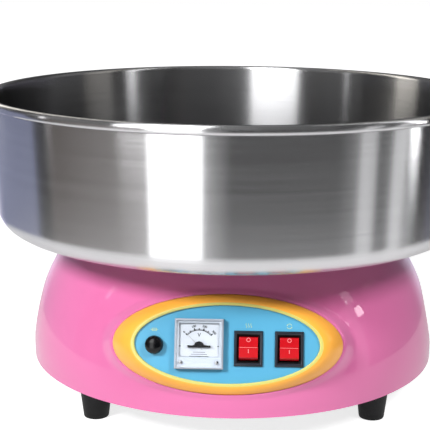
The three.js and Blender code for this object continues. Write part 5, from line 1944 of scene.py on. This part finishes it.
@dataclass
class Studio:
    """A white floor, soft lamps, and the panels that metal and gloss reflect."""

    camera_place: Point = (26.9, -1195.3, 448.9)
    yaw: float = -2.228
    pitch: float = 12.981
    roll: float = 0.33
    focal_pixels: float = 1136.0
    image_pixels: float = 430.0
    sensor: float = 36.0
    far_clip: float = 40.0
    wall_radius: float = 0.6
    wall_heights: Point = (0.0, 0.33, 1.7)
    panel_step: float = 3.0
    ceiling: float = 0.3
    sparks: tuple[Spark, ...] = (
        Spark(70.5, 0.267, 2.3, 0.025, 15.0),
        Spark(66.0, 0.346, 0.5, 0.006, 14.0),
        Spark(-71.0, 0.36, 1.2, 0.05, 3.5),
    )
    spark_gap: float = 0.004
    lamps: tuple[Lamp, ...] = (
        Lamp("key", (-1.8, -2.0, 1.92), 0.7, 106),
        Lamp("fill", (2.0, -1.8, 2.6), 1.0, 74),
    )
    ambient: float = 0.07
    second_hand: float = 0.08
    floor_half: float = 9000.0
    floor_grey: float = 0.6
    mirrored_floor: float = 0.62
    fade_reach: Pair = (0.4, 1.1)
    fade_levels: Pair = (0.78, 1.0)

    def lower_panels(self) -> list[Panel]:
        """Gives the panels that the bowl's outer wall mirrors, by angle from the camera's side."""
        rim = (1.1, 1.05, 1.3)
        lavender = (0.3, 0.32, 0.45)
        dusk = (0.12, 0.12, 0.17)
        brown = (0.13, 0.11, 0.1)
        buff = (0.33, 0.31, 0.3)
        return [
            Panel(-180, -135, rim),
            Panel(-135, -120, rim, lavender),
            Panel(-120, -81, lavender),
            Panel(-81, -72.5, grey(0.05)),
            Panel(-72.5, -28.5, brown, buff),
            Panel(-28.5, -9.4, grey(2.6)),
            Panel(-9.4, 0, grey(0.5), grey(0.06)),
            Panel(0, 39, grey(0.03), grey(0.07)),
            Panel(39, 46.5, grey(0.1), grey(0.26)),
            Panel(46.5, 53.5, grey(0.85)),
            Panel(53.5, 61, grey(0.14)),
            Panel(60.5, 68, grey(0.9)),
            Panel(68, 82, grey(0.02)),
            Panel(82, 120, dusk),
            Panel(120, 135, dusk, rim),
            Panel(135, 180, rim),
        ]

    def upper_panels(self) -> list[Panel]:
        """Gives the panels that the bowl's inside mirrors, over its front rim."""
        warm = (2.1, 2.0, 1.8)
        return [
            Panel(-180, -124, grey(0.16)),
            Panel(-124, -107, warm),
            Panel(-107, -82, grey(0.05), grey(0.08)),
            Panel(-82, -39.5, grey(0.26), grey(0.18)),
            Panel(-39.5, -9.2, grey(5.0)),
            Panel(-9.2, 10, grey(0.3), grey(0.24)),
            Panel(10, 36, grey(0.2), grey(0.15)),
            Panel(36, 65, grey(0.1)),
            Panel(65, 71, grey(2.6)),
            Panel(71, 82, grey(0.05)),
            Panel(82, 101, (0.5, 0.48, 0.44)),
            Panel(101, 130, grey(0.18), grey(0.22)),
            Panel(130, 180, grey(0.1), grey(0.02)),
        ]

    def camera(self) -> None:
        """Sets the camera at the photograph's viewing angle."""
        yaw, pitch, roll = (math.radians(angle) for angle in (self.yaw, self.pitch, self.roll))
        ahead = Vector((math.sin(yaw) * math.cos(pitch), math.cos(yaw) * math.cos(pitch), -math.sin(pitch)))
        side = Vector((math.cos(yaw), -math.sin(yaw), 0))
        above = side.cross(ahead)
        right = side * math.cos(roll) + above * math.sin(roll)
        up = above * math.cos(roll) - side * math.sin(roll)
        data = bpy.data.cameras.new("camera")
        data.sensor_width = self.sensor
        data.lens = self.sensor * self.focal_pixels / self.image_pixels
        data.clip_end = self.far_clip
        camera = linked("camera", data)
        look = Matrix((right, up, -ahead)).transposed().to_4x4()
        camera.matrix_world = metres(shift(*self.camera_place)) @ look
        bpy.context.scene.camera = camera

    def world(self) -> None:
        """Makes the world white to the camera and soft on the object."""
        world = bpy.data.worlds.new("studio_world")
        bpy.context.scene.world = world
        world.use_nodes = True
        w = Wiring(world.node_tree)
        path = w.add("ShaderNodeLightPath").outputs
        seen = w.sum("MAXIMUM", path["Is Camera Ray"], path["Is Glossy Ray"])
        either = w.sum("MAXIMUM", seen, path["Is Transmission Ray"])
        direct = w.sum("SUBTRACT", either, path["Diffuse Depth"], use_clamp=True)
        white = {"Color": (1, 1, 1, 1)}
        soft = w.add("ShaderNodeBackground", {**white, "Strength": self.ambient}).outputs[0]
        full = w.add("ShaderNodeBackground", white).outputs[0]
        choose = w.add("ShaderNodeMixShader", {"Fac": direct, 1: soft, 2: full}).outputs[0]
        w.add("ShaderNodeOutputWorld", {"Surface": choose})

    def first_hand(self, w: Wiring) -> Socket:
        """Gives 1 where seen or mirrored once, less where mirrored twice, 0 past a matt surface."""
        path = w.add("ShaderNodeLightPath").outputs
        direct = w.sum("SUBTRACT", 1.0, w.sum("MINIMUM", path["Diffuse Depth"], 1.0))
        again = w.sum("MAXIMUM", w.sum("SUBTRACT", path["Glossy Depth"], 1.0), 0.0)
        loss = w.sum("MULTIPLY", w.sum("MINIMUM", again, 1.0), 1 - self.second_hand)
        return w.sum("MULTIPLY", direct, w.sum("SUBTRACT", 1.0, loss))

    def floor(self) -> None:
        """Lays a wide pale floor that keeps the shadow."""
        half = self.floor_half
        draft = Draft()
        corners = [(-half, -half, 0), (half, -half, 0), (half, half, 0), (-half, half, 0)]
        draft.mesh.faces.new([draft.mesh.verts.new(corner) for corner in corners])
        floor = draft.object("studio_floor")
        w = Surface("floor_white")
        path = w.add("ShaderNodeLightPath").outputs
        mirrored = w.sum("MULTIPLY", path["Is Glossy Ray"], self.mirrored_floor)
        seen = w.sum("MAXIMUM", path["Is Camera Ray"], mirrored)
        direct = w.sum("MULTIPLY", seen, self.first_hand(w))
        away = w.add("ShaderNodeVectorMath", {0: w.place}, operation="LENGTH").outputs["Value"]
        (near, far), (low, high) = self.fade_reach, self.fade_levels
        fade = {"Value": away, "From Min": near, "From Max": far, "To Min": low, "To Max": high}
        level = w.add("ShaderNodeMapRange", fade, interpolation_type="SMOOTHSTEP").outputs["Result"]
        diffuse = w.add("ShaderNodeBsdfDiffuse", {"Color": (*grey(self.floor_grey), 1)}).outputs[0]
        shine = {"Color": (1, 1, 1, 1), "Strength": w.sum("MULTIPLY", direct, level)}
        glow = w.add("ShaderNodeEmission", shine).outputs[0]
        coated(floor, w.end(w.add("ShaderNodeAddShader", {0: diffuse, 1: glow}).outputs[0]))

    def surround(self) -> None:
        """Stands the studio's panels round the object, for reflections alone."""
        draft = Draft()
        layer = draft.mesh.loops.layers.float_color.new("glow")
        low, middle, top = self.wall_heights
        wide, narrow = self.wall_radius, self.wall_radius / 100
        rings = [
            (self.lower_panels(), (wide, low), (wide, middle)),
            (self.upper_panels(), (wide, middle), (wide, top)),
            ([Panel(-180, 180, grey(self.ceiling))], (wide, top), (narrow, top)),
        ]
        near = wide - self.spark_gap
        for spark in self.sparks:
            low, high = spark.height - spark.half_height, spark.height + spark.half_height
            rings.append(([spark.panel], (near, low), (near, high)))
        for panels, lower, upper in rings:
            for panel in panels:
                self._hang(draft, layer, panel, lower, upper)
        wall = draft.object("studio_panels")
        w = Surface("panel_glow")
        glow = w.add("ShaderNodeAttribute", attribute_name="glow").outputs["Color"]
        light = w.add("ShaderNodeEmission", {"Color": glow, "Strength": self.first_hand(w)}).outputs[0]
        coated(wall, w.end(light))
        wall.visible_camera = False
        wall.visible_diffuse = False
        wall.visible_shadow = False
        wall.visible_transmission = False

    def _hang(self, draft: Draft, layer: object, panel: Panel, lower: Pair, upper: Pair) -> None:
        """Adds one panel between two levels, each given as a radius and a height in metres."""
        steps = max(1, round((panel.end - panel.start) / self.panel_step))
        for i in range(steps):
            shares = (i / steps, (i + 1) / steps)
            angles = [panel.start + (panel.end - panel.start) * share - 90 for share in shares]
            bottom = [polar(lower[0] / MM, angle, lower[1] / MM) for angle in angles]
            top = [polar(upper[0] / MM, angle, upper[1] / MM) for angle in angles]
            corners = [draft.mesh.verts.new(point) for point in (bottom[0], bottom[1], top[1], top[0])]
            face = draft.mesh.faces.new(corners)
            colours = [panel.colour(share) for share in shares]
            for loop, colour in zip(face.loops, (colours[0], colours[1], colours[1], colours[0])):
                loop[layer] = (*colour, 1)

    def build(self) -> None:
        """Makes the world, the floor, the panels and the lamps."""
        bpy.context.scene.view_settings.view_transform = "Standard"
        self.world()
        self.floor()
        self.surround()
        for lamp in self.lamps:
            lamp.hang()


def main() -> None:
    """Loads the frame, dresses every piece and sets the studio."""
    logging.basicConfig(level=logging.INFO, format="%(message)s")
    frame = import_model()
    studio = Studio()
    studio.camera()
    shop = Workshop(frame)
    pattern, tube = Pattern(), Tube()
    plane = PanelPlane()
    housing = Housing(shop, plane)
    Bowl(shop).build(pattern)
    housing.build(pattern)
    ControlPanel(shop, plane, housing).build(pattern)
    SpinnerHead(shop).build(pattern, tube)
    Drive(shop).build()
    studio.build()


if __name__ == "__main__":
    main()
